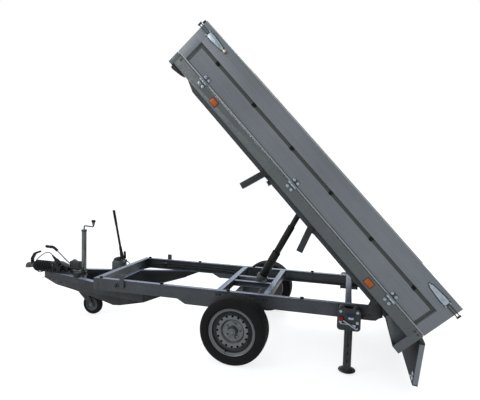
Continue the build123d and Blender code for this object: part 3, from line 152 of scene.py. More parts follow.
def zinc_dip(name, colour, grime, metallic, cloud):
    """Hot dipped zinc: crystals a finger wide, cloudy patches and darker rain marks."""
    material, surface, coordinates = new_finish(name, 0.42, metallic, specular=0.2)
    links = material.node_tree.links
    clouds = mottle(material, surface, colour, 1 - cloud, 1 + cloud, coordinates, 5.0)
    crystals = shader(material, "TexVoronoi", Scale=85.0, Randomness=1.0)
    crystal_grey = shader(material, "SeparateColor")
    marks = shader(material, "TexNoise", Scale=2.2, Detail=6.0, Roughness=0.7, Distortion=1.2)
    marks_range = shader(material, "MapRange", From_Min=0.52, From_Max=0.7, To_Min=0.0, To_Max=grime)
    soil = shader(material, "MixRGB", {"blend_type": "MIX"})
    soil.inputs["Color2"].default_value = tint((0.11, 0.10, 0.085))
    links.new(coordinates, crystals.inputs["Vector"])
    links.new(coordinates, marks.inputs["Vector"])
    links.new(crystals.outputs["Color"], crystal_grey.inputs["Color"])
    spread = 0.6 * cloud
    metal = lifted(material, clouds, crystal_grey.outputs["Red"], To_Min=1 - spread, To_Max=1 + spread)
    links.new(metal, soil.inputs["Color1"])
    links.new(marks.outputs["Fac"], marks_range.inputs["Value"])
    links.new(marks_range.outputs["Result"], soil.inputs["Fac"])
    links.new(soil.outputs["Color"], surface.inputs["Base Color"])
    vary_roughness(material, surface, crystal_grey.outputs["Green"], 0.36, 0.54)
    raise_grain(material, surface, crystals.outputs["Distance"], 0.12, 0.0006)
    return material


def sheet_metal(name, colour):
    """Rolled sheet: long faint streaks along the bed, with soft clouds."""
    material, surface, coordinates = new_finish(name, 0.38, 0.55, specular=0.25)
    links = material.node_tree.links
    clouds = mottle(material, surface, colour, 0.88, 1.1, coordinates, 1.7)
    along = shader(material, "Mapping", {"vector_type": "TEXTURE"})
    along.inputs["Rotation"].default_value = (0, TIP, 0)
    along.inputs["Scale"].default_value = (6.0, 1.0, 0.12)
    streaks = shader(material, "TexNoise", Scale=9.0, Detail=5.0, Roughness=0.65)
    links.new(coordinates, along.inputs["Vector"])
    links.new(along.outputs["Vector"], streaks.inputs["Vector"])
    streak = streaks.outputs["Fac"]
    metal = lifted(material, clouds, streak, From_Min=0.3, From_Max=0.7, To_Min=0.93, To_Max=1.07)
    links.new(metal, surface.inputs["Base Color"])
    vary_roughness(material, surface, streak, 0.32, 0.46)
    raise_grain(material, surface, streak, 0.05, 0.0005)
    return material


def grained(name, colour, roughness, metallic, grain_size, depth, strength=0.3, drift=(0.8, 1.25)):
    """A finish with a fine even grain: cast iron, rubber, moulded plastic or sprayed paint."""
    material, surface, coordinates = new_finish(name, roughness, metallic, specular=0.5 if metallic else 0.2)
    mottle(material, surface, colour, *drift, coordinates, 14.0, 6.0)
    grain = shader(material, "TexNoise", Scale=1 / grain_size, Detail=3.0, Roughness=0.6)
    material.node_tree.links.new(coordinates, grain.inputs["Vector"])
    vary_roughness(material, surface, grain.outputs["Fac"], roughness - 0.08, roughness + 0.1)
    raise_grain(material, surface, grain.outputs["Fac"], strength, depth)
    return material


def zinc_plate(name, colour, dull, warm):
    """Bright plated fittings with the faint yellow cast of their passivation."""
    material, surface, coordinates = new_finish(name, 0.3, 0.85)
    links = material.node_tree.links
    patches = shader(material, "TexNoise", Scale=22.0, Detail=5.0, Roughness=0.65, Distortion=0.8)
    ramp = shader(material, "ValToRGB")
    for place, shade in ((0.3, dull), (0.5, colour), (0.75, warm)):
        ramp.color_ramp.elements.new(place).color = tint(shade)
    ramp.color_ramp.elements.remove(ramp.color_ramp.elements[0])
    ramp.color_ramp.elements.remove(ramp.color_ramp.elements[-1])
    links.new(coordinates, patches.inputs["Vector"])
    links.new(patches.outputs["Fac"], ramp.inputs["Fac"])
    links.new(ramp.outputs["Color"], surface.inputs["Base Color"])
    vary_roughness(material, surface, patches.outputs["Fac"], 0.2, 0.42)
    raise_grain(material, surface, patches.outputs["Fac"], 0.1, 0.0003)
    return material


def ribbed_lens(name, colour):
    """Moulded lamp lens with small prisms behind a glossy face."""
    material, surface, coordinates = new_finish(name, 0.18, 0.0, specular=0.25)
    links = material.node_tree.links
    aligned = shader(material, "Mapping", {"vector_type": "TEXTURE"})
    aligned.inputs["Rotation"].default_value = (0, TIP, 0)
    prisms = shader(material, "TexVoronoi", {"distance": "CHEBYCHEV"}, Scale=260.0, Randomness=0.0)
    mottle(material, surface, colour, 0.8, 1.15, coordinates, 60.0)
    links.new(coordinates, aligned.inputs["Vector"])
    links.new(aligned.outputs["Vector"], prisms.inputs["Vector"])
    raise_grain(material, surface, prisms.outputs["Distance"], 0.5, 0.0008)
    surface.inputs["Coat Weight"].default_value = 0.08
    return material


# colour, share of rain marks, metallic, strength of the clouds
ZINC_DIPS = {
    "galvanised": ((0.062, 0.067, 0.073), 0.2, 0.5, 0.12),
    # a lighter copy of the zinc for the front cross member: painted light
    "front_zinc": ((0.20, 0.21, 0.215), 0.15, 0.4, 0.1),
    "bed_zinc": ((0.112, 0.122, 0.126), 0.12, 0.5, 0.07),
    # a darker copy of the zinc: painted shade, on the drawbar arms, overrun housing and jockey clamp
    "arm_zinc": ((0.018, 0.020, 0.023), 0.2, 0.5, 0.15),
    # bluer, lighter zinc for faces that look up: painted sky light
    "washed_zinc": ((0.20, 0.24, 0.32), 0.1, 0.4, 0.1),
    "stand_zinc": ((0.040, 0.044, 0.045), 0.2, 0.5, 0.15),
}
SHEETS = {
    "board": ((0.172, 0.189, 0.203),),
    # dark sheet for the painted shade in the groove round the recess
    "groove": ((0.058, 0.063, 0.061),),
}
# colour, dull patches, warm patches
PLATED = {
    "bright_zinc": ((0.30, 0.35, 0.40), (0.19, 0.24, 0.28), (0.42, 0.45, 0.43)),
    # a darker copy of the plated finish for the jockey tube and leg: painted shade
    "tube_zinc": ((0.11, 0.12, 0.115), (0.08, 0.088, 0.088), (0.16, 0.17, 0.15)),
    "brass": ((0.50, 0.45, 0.26), (0.34, 0.32, 0.20), (0.60, 0.55, 0.36)),
}
LENSES = {
    "orange_lens": ((0.52, 0.105, 0.010),),
    "red_lens": ((0.33, 0.008, 0.008),),
}
# colour, roughness, metallic, grain size, grain depth, strength of the grain, drift of the colour
GRAINED = {
    # a dark finish for the tail board's faces: painted shade, while its edge strips take the lighter board
    # colour
    "tail_zinc": ((0.034, 0.036, 0.037), 0.7, 0.0, 0.004, 0.0003, 0.2),
    "rim": ((0.13, 0.135, 0.14), 0.32, 0.65, 0.002, 0.0002, 0.15, (0.85, 1.1)),
    "cast": ((0.045, 0.047, 0.050), 0.5, 0.3, 0.003, 0.0006, 0.5),
    "tyre": ((0.005, 0.005, 0.0053), 0.8, 0.0, 0.0025, 0.0004, 0.35, (0.8, 1.5)),
    "black_rubber": ((0.005, 0.005, 0.0054), 0.7, 0.0, 0.003, 0.0003, 0.3, (0.8, 1.4)),
    "black_plastic": ((0.008, 0.008, 0.009), 0.5, 0.0, 0.0015, 0.0002),
    "black_steel": ((0.006, 0.006, 0.0065), 0.42, 0.0, 0.004, 0.0003, 0.2, (0.8, 1.6)),
    "ram_grey": ((0.065, 0.07, 0.074), 0.4, 0.2, 0.004, 0.0004, 0.25),
    # the beads' light tone is painted highlight along the rolled edges of the boards
    "bead": ((0.36, 0.38, 0.37), 0.5, 0.2, 0.004, 0.0001, 0.05, (0.95, 1.05)),
    "dull_bolt": ((0.11, 0.12, 0.12), 0.4, 0.6, 0.002, 0.0002, 0.2),
    # a darker copy of the plated finish: painted shade on the latch base plates, also used on hinge leaves,
    # hooks and cheeks
    "dark_plate": ((0.045, 0.054, 0.060), 0.45, 0.3, 0.002, 0.0002, 0.2),
    "lever_grey": ((0.22, 0.23, 0.23), 0.4, 0.5, 0.002, 0.0002, 0.2),
    "cap_grey": ((0.07, 0.074, 0.074), 0.45, 0.1, 0.003, 0.0003),
    "wheel_plastic": ((0.10, 0.105, 0.108), 0.5, 0.0, 0.003, 0.0003),
    "tank_grey": ((0.055, 0.07, 0.062), 0.45, 0.1, 0.004, 0.0004),
    "black_paint": ((0.005, 0.005, 0.006), 0.42, 0.0, 0.004, 0.0003, 0.2),
    "ram_light": ((0.12, 0.125, 0.13), 0.4, 0.3, 0.004, 0.0004, 0.25),
    "red_plastic": ((0.24, 0.010, 0.014), 0.35, 0.0, 0.002, 0.0002, 0.2),
    "blue_plastic": ((0.012, 0.03, 0.12), 0.35, 0.0, 0.002, 0.0002, 0.2),
}
finishes = {}
for make, table in (
    (zinc_dip, ZINC_DIPS),
    (sheet_metal, SHEETS),
    (zinc_plate, PLATED),
    (ribbed_lens, LENSES),
    (grained, GRAINED),
):
    for name, settings in table.items():
        finishes[name] = make(name, *settings)

slots = {part["node"]: part["material_slot"] for part in frame["record"]["subparts"]}
SPECIAL = {
    "arm_zinc": ("drawbar_arms", "overrun_housing", "jockey_clamp"),
    "stand_zinc": ("prop_brackets", "prop_leg_left", "prop_leg_right", "tipping_ears", "wheel_guard_arms",
                   "jockey_fork"),
    "bed_zinc": ("bed_side_rails", "bed_front_bar", "bed_rear_bar"),
    "front_zinc": ("front_cross_member",),
    "tail_zinc": ("tail_board",),
    "tube_zinc": ("jockey_tube", "jockey_leg"),
}
# Faces of these nodes that look up get a bluer, lighter zinc: painted sky light on their tops
SKY_LIT_NODES = ("drawbar_arms", "chassis_rails", "front_cross_member", "cross_members", "ram_cradle")
LOOKS_UP = 0.85


def finish_of(node):
    for name, nodes in SPECIAL.items():
        if node in nodes:
            return finishes[name]
    return finishes[slots[node]]


def coat(piece, material):
    piece.data.materials.clear()
    piece.data.materials.append(material)


for node, piece in cad.items():
    coat(piece, finish_of(node))


# Ways of making a piece

def active():
    return bpy.context.view_layer.objects.active


def pick(piece):
    bpy.ops.object.select_all(action="DESELECT")
    piece.select_set(True)
    bpy.context.view_layer.objects.active = piece


def edit(piece):
    """Opens a piece in edit mode with all of it selected."""
    pick(piece)
    bpy.ops.object.mode_set(mode="EDIT")
    bpy.ops.mesh.select_all(action="SELECT")


def leave():
    bpy.ops.object.mode_set(mode="OBJECT")


def smooth(angle=35):
    bpy.ops.object.shade_smooth_by_angle(angle=radians(angle))


def round_edges(piece, width, segments, corner):
    """Rounds the edges that turn by more than a corner, in degrees."""
    rounding = piece.modifiers.new("rounding", "BEVEL")
    rounding.width = width
    rounding.segments = segments
    rounding.limit_method = "ANGLE"
    rounding.angle_limit = radians(corner)
    bpy.ops.object.modifier_apply(modifier=rounding.name)


def clean_up(piece, angle=35, bevel=0.0, segments=2):
    """Merges doubles, rounds the sharp edges and smooths what is left by angle."""
    edit(piece)
    bpy.ops.mesh.remove_doubles(threshold=0.00001)
    bpy.ops.mesh.normals_make_consistent(inside=False)
    leave()
    if bevel:
        round_edges(piece, bevel, segments, 30)
    smooth(angle)


def joined(pieces):
    bpy.ops.object.select_all(action="DESELECT")
    for piece in pieces:
        piece.select_set(True)
    bpy.context.view_layer.objects.active = pieces[0]
    if len(pieces) > 1:
        bpy.ops.object.join()
    return active()


def hand_in(pieces, name, body, slot, finish=None, stands_for=(), where=LEVEL):
    """Joins pieces, sets them in the frame they were drawn in, and gives them a body and a finish, which is
    the slot's own unless another is named.
    """
    piece = joined(pieces)
    bpy.ops.object.transform_apply(location=True, rotation=True, scale=True)
    piece.matrix_world = where
    bpy.ops.object.transform_apply(location=True, rotation=True, scale=True)
    piece.name = name
    piece.data.name = name
    coat(piece, finishes[finish or slot])
    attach(piece, body)
    if stands_for:
        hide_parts(*stands_for)


def block(size, centre, bevel=0.001, segments=2, turn=0.0):
    bpy.ops.mesh.primitive_cube_add(size=1, location=centre, rotation=(0, turn, 0))
    piece = active()
    piece.scale = size
    bpy.ops.object.transform_apply(location=True, rotation=True, scale=True)
    edit(piece)
    bpy.ops.mesh.bevel(offset=bevel, segments=segments, affect="EDGES")
    leave()
    smooth()
    return piece


def bar(start, end, radius, sides=24, bevel=0.0, far_radius=None):
    """A round bar or cone between two points."""
    start = Vector(start)
    end = Vector(end)
    run = end - start
    bpy.ops.mesh.primitive_cone_add(
        vertices=sides,
        radius1=radius,
        radius2=radius if far_radius is None else far_radius,
        depth=run.length,
        location=(start + end) / 2,
        rotation=run.to_track_quat("Z", "Y").to_euler(),
    )
    piece = active()
    bpy.ops.object.transform_apply(location=True, rotation=True, scale=True)
    if bevel:
        clean_up(piece, bevel=bevel)
    else:
        smooth()
    return piece


def crossbar(x, near_y, far_y, z, radius, sides=24, bevel=0.001):
    """A round bar across the trailer."""
    return bar((x, near_y, z), (x, far_y, z), radius, sides, bevel)


def bolt(place, direction, across, height):
    """A hexagon head with a chamfered crown on its washer, pointing out along a direction."""
    place = Vector(place)
    out = Vector(direction).normalized()
    low = place - out * 0.001
    washer = bar(low, place + out * 0.0018, across * 0.95, sides=28, bevel=0.0004)
    head = bar(low, place + out * height, across / 2 * 1.155, sides=6, bevel=0.0007)
    return joined([washer, head])


def outline_of(points, filled=False):
    """A closed outline: a circle whose points are moved to their places one by one."""
    kind = "NGON" if filled else "NOTHING"
    bpy.ops.mesh.primitive_circle_add(vertices=len(points), radius=1, fill_type=kind)
    piece = active()
    for vertex, point in zip(piece.data.vertices, points):
        vertex.co = point
    return piece


def spun(section, centre, axis, steps=64, angle=35):
    """Turns a closed section, given as places along an axis and radii, right round that axis."""
    centre = Vector(centre)
    axis = Vector(axis)
    across = Vector((1, 0, 0)) if axis.z else Vector((0, 0, 1))
    piece = outline_of([centre + axis * along + across * radius for along, radius in section])
    edit(piece)
    bpy.ops.mesh.spin(steps=steps, angle=tau, center=centre, axis=axis)
    leave()
    clean_up(piece, angle=angle)
    return piece


def plate(outline, start_y, end_y, bevel=0.001, segments=2):
    """A flat plate drawn in x and z and pushed out along y."""
    piece = outline_of([(x, start_y, z) for x, z in outline], filled=True)
    edit(piece)
    bpy.ops.mesh.extrude_region_move(TRANSFORM_OT_translate={"value": (0, end_y - start_y, 0)})
    leave()
    clean_up(piece, bevel=bevel, segments=segments)
    return piece


def sink_face(piece, side, rim, depth):
    """Sinks the outward face of a block inside a rim."""
    edit(piece)
    bpy.ops.mesh.select_all(action="DESELECT")
    leave()
    outward = [face for face in piece.data.polygons if face.normal.y * side > 0.9]
    max(outward, key=lambda face: face.area).select = True
    bpy.ops.object.mode_set(mode="EDIT")
    bpy.ops.mesh.inset(thickness=rim, depth=-depth)
    leave()


def line_through(name, points, radius, resolution):
    """A round line on a smooth curve through its route."""
    curve = bpy.data.curves.new(name, "CURVE")
    curve.dimensions = "3D"
    curve.bevel_depth = radius
    curve.use_fill_caps = True
    spline = curve.splines.new("NURBS")
    spline.points.add(len(points) - 1)
    for target, point in zip(spline.points, points):
        target.co = (*point, 1.0)
    spline.order_u = 3
    spline.use_endpoint_u = True
    spline.resolution_u = resolution
    line = bpy.data.objects.new(name, curve)
    bpy.context.scene.collection.objects.link(line)
    return line


def rod_along(points, radius, resolution=8):
    """A bent rod or pipe through points, as a mesh."""
    rod = line_through("rod", points, radius, resolution)
    rod.data.bevel_resolution = 3
    pick(rod)
    bpy.ops.object.convert(target="MESH")
    smooth(40)
    return active()


def softened(node, width, segments=2):
    """A copy of a CAD node with its edges rounded, which then stands for it."""
    source = cad[node]
    copy = source.copy()
    copy.data = source.data.copy()
    copy.parent = None
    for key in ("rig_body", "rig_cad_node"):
        if key in copy:
            del copy[key]
    bpy.context.scene.collection.objects.link(copy)
    edit(copy)
    bpy.ops.mesh.remove_doubles(threshold=0.00002)
    bpy.ops.mesh.dissolve_limited(angle_limit=radians(1.0))
    leave()
    round_edges(copy, width, segments, 28)
    smooth(32)
    copy.name = node + "_made"
    copy.data.name = copy.name
    coat(copy, finish_of(node))
    # faces that look up take the bluer zinc as painted sky light
    if node in SKY_LIT_NODES:
        copy.data.materials.append(finishes["washed_zinc"])
        for face in copy.data.polygons:
            if face.normal.z > LOOKS_UP:
                face.material_index = 1
    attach(copy, source["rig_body"])
    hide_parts(node)


# Towing cable, as a smooth line through the same points as its solid
CABLE_POINTS = (
    (0.316, -0.078, 0.0),
    (0.276, -0.078, 0.0),
    (0.238, -0.080, -0.027),
    (0.197, -0.082, -0.038),
    (0.160, -0.084, -0.016),
    (0.141, -0.085, 0.030),
    (0.155, -0.085, 0.082),
    (0.203, -0.084, 0.128),
    (0.250, -0.082, 0.162),
    (0.293, -0.080, 0.182),
    (0.331, -0.079, 0.180),
    (0.356, -0.078, 0.1545),
)
CABLE_DIAMETER = 0.009


def towing_cable():
    cable = line_through("towing_cable", CABLE_POINTS, CABLE_DIAMETER / 2, 12)
    cable.data.bevel_resolution = 5
    cable.data.resolution_u = 10
    cable.data.materials.append(finishes["black_rubber"])
    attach(cable, "chassis")
    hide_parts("cable")


towing_cable()

# Rounded copies of the folded and cast nodes, by the width of their rounding
SOFT_NODES = {
    0.0008: ("bed_floor", "jockey_tube"),
    0.001: ("jockey_fork",),
    0.0012: ("side_reflectors", "ram_stage_one", "ram_stage_two", "wheel_rim_left", "wheel_rim_right"),
    0.0015: ("ram_cradle", "prop_brackets", "ram_eye_cheeks", "rear_lamps", "ram_barrel", "brake_drum_left",
             "brake_drum_right"),
    0.002: ("axle_doublers", "tipping_ears", "bed_under_beams", "bed_cross_beams", "jockey_clamp"),
    0.0025: ("drawbar_arms",),
    0.003: ("front_cross_member", "cross_members", "bed_side_rails", "bed_front_bar", "bed_rear_bar",
            "tail_board", "wheel_guard_arms", "bed_buffers", "overrun_housing"),
    0.004: ("chassis_rails", "axle_arms", "head_board"),
    0.005: ("axle_tube",),
}
for width, nodes in SOFT_NODES.items():
    for node in nodes:
        softened(node, width)
softened("coupling_head", 0.003, 3)
softened("coupling_handle", 0.004, 3)

# Bed sizes, along the bed (u), across it (y) and up from it (w)
BED_FRONT = -2.353
BED_REAR = 0.291
HALF_WIDTH = 0.757
BOARD_LOW = 0.125
BOARD_TOP = 0.430
BOARD_WALL = 0.030
RECESS_DEPTH = 0.014
RECESS_TOP = 0.298
RECESS_SLOPE = 0.005
RECESS_LOW = 0.133
RECESS_END = 0.082
GROOVE_SHADE_WIDTH = 0.022
TIE_PLACES = (0.284, 0.704, 1.116, 1.529, 1.947, 2.357)
SIDE_HINGE_PLACES = (0.319, 1.329, 2.330)
SIDE_HINGE_Y = 0.769
SIDE_HINGE_W = 0.120
LATCH_W = 0.377
BED_MIDDLE = (BED_REAR + BED_FRONT) / 2


def side_board(side):
    """A board with a pressed recess: a grid whose inner field is pushed in, given its wall and rounded."""
    front = BED_FRONT + RECESS_END
    rear = BED_REAR - RECESS_END
    along = (BED_FRONT, front, front + RECESS_SLOPE, rear - RECESS_SLOPE, rear, BED_REAR)
    up = (BOARD_LOW, RECESS_LOW, RECESS_LOW + RECESS_SLOPE, RECESS_TOP - RECESS_SLOPE, RECESS_TOP, BOARD_TOP)
    last = len(along) - 1
    bpy.ops.mesh.primitive_grid_add(x_subdivisions=last, y_subdivisions=last, size=1)
    board = active()
    for vertex in board.data.vertices:
        column = round((vertex.co.x + 0.5) * last)
        row = round((vertex.co.y + 0.5) * last)
        sunk = 2 <= column <= 3 and 2 <= row <= 3
        depth = RECESS_DEPTH if sunk else 0.0
        vertex.co = (along[column], side * (HALF_WIDTH - depth), up[row])
    edit(board)
    bpy.ops.mesh.extrude_region_move(TRANSFORM_OT_translate={"value": (0, -side * BOARD_WALL, 0)})
    leave()
    for vertex in board.data.vertices:
        if abs(vertex.co.y) < HALF_WIDTH - RECESS_DEPTH - 0.001:
            vertex.co.y = side * (HALF_WIDTH - BOARD_WALL)
    clean_up(board, bevel=0.0035, segments=3)
    return board


def recess_groove(side):
    """A dark strip of painted shade round the front, top and rear of the recess."""
    foot = RECESS_LOW + 0.006
    top = RECESS_TOP - RECESS_SLOPE
    front = BED_FRONT + RECESS_END + RECESS_SLOPE
    rear = BED_REAR - RECESS_END - RECESS_SLOPE
    outline = (
        (front, foot), (front, top), (rear, top), (rear, foot), (rear - GROOVE_SHADE_WIDTH, foot),
        (rear - GROOVE_SHADE_WIDTH, top - GROOVE_SHADE_WIDTH), (front + GROOVE_SHADE_WIDTH, top - GROOVE_SHADE_WIDTH),
        (front + GROOVE_SHADE_WIDTH, foot),
    )
    face = HALF_WIDTH - RECESS_DEPTH
    return plate(outline, side * (face - 0.002), side * (face + 0.001), bevel=0.0004)


def tie_point(u, side):
    """A square hole with a dark frame and a hook pin in it, on the slope of the recess."""
    y = side * (HALF_WIDTH - RECESS_DEPTH / 2)
    w = RECESS_TOP - RECESS_SLOPE - GROOVE_SHADE_WIDTH / 2
    hole = block((0.026, 0.016, 0.026), (u, y, w), bevel=0.002)
    sink_face(hole, side, rim=0.003, depth=0.007)
    pin_y = y + side * 0.003
    pin = bar((u - 0.009, pin_y, w), (u + 0.009, pin_y, w), 0.0022, sides=12)
    return joined([hole, pin])


def hinge(u, side):
    """Two dark leaves, and the bright bolts and rolled knuckle across the foot of a board."""
    board_face = HALF_WIDTH - RECESS_DEPTH
    dark = []
    for face, low, high in ((HALF_WIDTH, 0.076, 0.109), (board_face, 0.134, 0.168)):
        outline = (
            (u - 0.026, low), (u - 0.030, low + 0.006), (u - 0.030, high - 0.006), (u - 0.026, high),
            (u + 0.026, high), (u + 0.030, high - 0.006), (u + 0.030, low + 0.006), (u + 0.026, low),
        )
        dark.append(plate(outline, side * (face - 0.001), side * (face + 0.0035)))

    y = side * SIDE_HINGE_Y
    w = SIDE_HINGE_W
    bright = [bar((u - 0.040, y, w), (u + 0.040, y, w), 0.0042, sides=16, bevel=0.0008)]
    for shift in (-0.023, 0.0, 0.023):
        middle = u + shift
        bright.append(bar((middle - 0.0105, y, w), (middle + 0.0105, y, w), 0.0085, bevel=0.001))
    for shift in (-0.019, 0.019):
        for face, rise, height in ((HALF_WIDTH, 0.090, 0.009), (board_face, 0.153, 0.012)):
            bright.append(bolt((u + shift, side * (face + 0.003), rise), (0, side, 0), 0.012, height))
    return dark, bright


def latch(edge_u, end, side):
    """An over-centre latch: base plate with cheeks, tapered lever, roller and the hook that it pulls."""
    y = HALF_WIDTH

    def back(distance):
        return edge_u - end * distance

    def tapered(half_outline):
        upper = [(back(distance), LATCH_W + half) for distance, half in half_outline]
        lower = [(back(distance), LATCH_W - half) for distance, half in reversed(half_outline)]
        return upper + lower

    base = tapered(((0.070, 0.026), (0.130, 0.028), (0.236, 0.018), (0.252, 0.010)))
    hook = block((0.008, 0.018, 0.034), (back(-0.024), side * (y - 0.002), LATCH_W), bevel=0.0015)
    dark = [plate(base, side * (y - 0.001), side * (y + 0.003), bevel=0.0008), hook]

    lever = tapered(((0.086, 0.016), (0.098, 0.0215), (0.140, 0.0215), (0.236, 0.0115), (0.246, 0.006)))
    roller_y = side * (y + 0.009)
    roller_low = (back(0.100), roller_y, LATCH_W - 0.029)
    roller_high = (back(0.100), roller_y, LATCH_W + 0.029)
    tip_start = (back(0.240), side * (y + 0.012), LATCH_W)
    tip_end = (back(0.258), side * (y + 0.014), LATCH_W)
    bright = [
        plate(lever, roller_y, side * (y + 0.015), bevel=0.0025, segments=3),
        block((0.105, 0.004, 0.009), (back(0.166), side * (y + 0.0158), LATCH_W), bevel=0.0018),
        bar(roller_low, roller_high, 0.0050, 18, 0.0008),
        bar(tip_start, tip_end, 0.0065, 20, 0.001),
    ]
    for rise in (-1, 1):
        hook_y = side * (y + 0.010)
        hook_w = LATCH_W + rise * 0.009
        cheek_centre = (back(0.116), roller_y, LATCH_W + rise * 0.0245)
        bolt_place = (back(0.078), side * (y + 0.002), LATCH_W + rise * 0.018)
        dark.append(block((0.080, 0.014, 0.0035), cheek_centre, bevel=0.0009))
        dark.append(bar((back(0.104), hook_y, hook_w), (back(-0.020), hook_y, hook_w), 0.0038, sides=16))
        bright.append(bolt(bolt_place, (0, side, 0), 0.009, 0.004))
    return dark, bright


def lever_knob(side):
    """The plain turned knob on the end of a front latch."""
    section = ((0.0, 0.0), (-0.003, 0.009), (0.004, 0.0125), (0.014, 0.0125), (0.020, 0.008), (0.021, 0.0))
    return spun(section, (BED_FRONT + 0.258, side * (HALF_WIDTH + 0.014), LATCH_W), (1, 0, 0), steps=28)


def bead(side, low, high):
    """A thin rolled bead along an edge of a board."""
    length = BED_REAR - BED_FRONT - 0.004
    centre = (BED_MIDDLE, side * (HALF_WIDTH + 0.0005), (low + high) / 2)
    return block((length, 0.005, high - low), centre, bevel=0.0016, segments=3)


def lower_lip(side):
    """The folded lip under a board, which fills the slot over the side rail."""
    length = BED_REAR - BED_FRONT - 0.012
    return block((length, 0.016, 0.0055), (BED_MIDDLE, side * (HALF_WIDTH - 0.012), 0.1235))


for side_name, side in SIDES:
    body = "side_board_" + side_name
    hand_in([side_board(side)], body + "_made", body, "board", stands_for=(body,), where=ON_BED)
    # the dark strip is painted shade in the groove round the recess
    hand_in([recess_groove(side)], body + "_groove", body, "board", "groove", where=ON_BED)
    beads = [bead(side, BOARD_TOP - 0.006, BOARD_TOP + 0.001), bead(side, BOARD_LOW, BOARD_LOW + 0.007)]
    # the rolled beads are real; their light finish is painted highlight
    hand_in(beads, body + "_beads", body, "galvanised", "bead", where=ON_BED)
    hand_in([lower_lip(side)], body + "_lip", body, "board", where=ON_BED)
    ties = [tie_point(BED_REAR - place, side) for place in TIE_PLACES]
    hand_in(ties, body + "_tie_points", body, "black_plastic", where=ON_BED)

    fittings = [hinge(BED_REAR - place, side) for place in SIDE_HINGE_PLACES]
    fittings += [latch(BED_FRONT, -1, side), latch(BED_REAR, 1, side)]
    dark_pieces = [piece for dark, _ in fittings for piece in dark]
    bright_pieces = [piece for _, bright in fittings for piece in bright]
    hand_in(bright_pieces, "side_fittings_" + side_name + "_made", body, "bright_zinc",
            stands_for=("side_fittings_" + side_name,), where=ON_BED)
    # these plates carry the plated slot in a darker finish as painted shade
    hand_in(dark_pieces, "side_plates_" + side_name, body, "bright_zinc", "dark_plate", where=ON_BED)
    hand_in([lever_knob(side)], body + "_latch_knob", body, "bright_zinc", "brass", where=ON_BED)


# Bed: pegs that the front latches pull on, wedges, end caps and corner sleeves
def latch_peg(side):
    y = side * (HALF_WIDTH - BOARD_WALL - 0.022)
    foot = block((0.006, 0.034, 0.052), (BED_FRONT - 0.004, y, LATCH_W), bevel=0.0015)
    peg = bar((BED_FRONT - 0.006, y, LATCH_W), (BED_FRONT - 0.024, y, LATCH_W), 0.008, 20, 0.0015)
    return joined([foot, peg])


def wedge_block(side):
    """The dark moulded wedge below the front corner of the bed."""
    outline = (
        (BED_FRONT + 0.036, 0.036),
        (BED_FRONT + 0.165, 0.036),
        (BED_FRONT + 0.150, 0.020),
        (BED_FRONT + 0.066, 0.004),
        (BED_FRONT + 0.042, 0.004),
    )
    return plate(outline, side * (HALF_WIDTH - 0.060), side * (HALF_WIDTH - 0.004), bevel=0.003)


def end_cap(front, rear, low, high, side):
    """A thin cap over the open end of one of the bed's bars."""
    outline = ((front, low), (rear, low), (rear, high), (front, high))
    return plate(outline, side * (HALF_WIDTH - 0.0025), side * (HALF_WIDTH + 0.0010), bevel=0.0012)


def corner_sleeve(side):
    """A small lump at the head board's top corner: a block whose faces are all drawn in past its middle."""
    centre = (BED_FRONT - 0.013, side * (HALF_WIDTH - 0.019), BOARD_TOP - 0.021)
    sleeve = block((0.030, 0.034, 0.040), centre, bevel=0.002)
    edit(sleeve)
    bpy.ops.mesh.inset(thickness=0, depth=-0.022)
    leave()
    return sleeve


FRONT_BAR_END = (BED_FRONT, BED_FRONT + 0.040, 0.021, 0.1195)
REAR_BAR_END = (BED_REAR - 0.061, BED_REAR, -0.081, 0.1175)
caps = [end_cap(*bar_end, side) for _, side in SIDES for bar_end in (FRONT_BAR_END, REAR_BAR_END)]
hand_in([latch_peg(side) for _, side in SIDES], "latch_pegs", "bed", "galvanised", where=ON_BED)
hand_in([wedge_block(side) for _, side in SIDES], "corner_wedges", "bed", "black_steel", where=ON_BED)
hand_in(caps, "bar_end_caps", "bed", "galvanised", "bed_zinc", where=ON_BED)
hand_in([corner_sleeve(side) for _, side in SIDES], "corner_sleeves", "bed", "galvanised", "bed_zinc",
        where=ON_BED)

# Bolts through the bed's side rails, and the brackets of the wheel guard arms
RAIL_RIVETS_U = (-2.29, 0.235, 0.262)
RAIL_RIVETS_W = 0.100
rail_bolts = []
for _, side in SIDES:
    for u in RAIL_RIVETS_U:
        rail_bolts.append(bolt((u, side * HALF_WIDTH, RAIL_RIVETS_W), (0, side, 0), 0.009, 0.004))
hand_in(rail_bolts, "rail_rivets", "bed", "galvanised", where=ON_BED)

GUARD_ARM_PLACES = (1.546, 1.035)
GUARD_ARM_OUTER_Y = 0.540


def guard_bracket(place, side):
    """A folded bracket with two bolts that ties a wheel arm to the beam above it."""
    u = BED_REAR - place
    outline = (
        (u - 0.034, 0.038), (u + 0.034, 0.038), (u + 0.034, 0.012), (u + 0.018, -0.004), (u - 0.018, -0.004),
        (u - 0.034, 0.012),
    )
    inner_y = side * (GUARD_ARM_OUTER_Y - 0.002)
    outer_y = inner_y + side * 0.005
    bolts = [bolt((u + shift, outer_y, 0.020), (0, side, 0), 0.015, 0.010) for shift in (-0.016, 0.016)]
    return joined([plate(outline, inner_y, outer_y)] + bolts)


brackets = [guard_bracket(place, side) for place in GUARD_ARM_PLACES for _, side in SIDES]
hand_in(brackets, "guard_brackets", "bed", "galvanised", "stand_zinc", where=ON_BED)

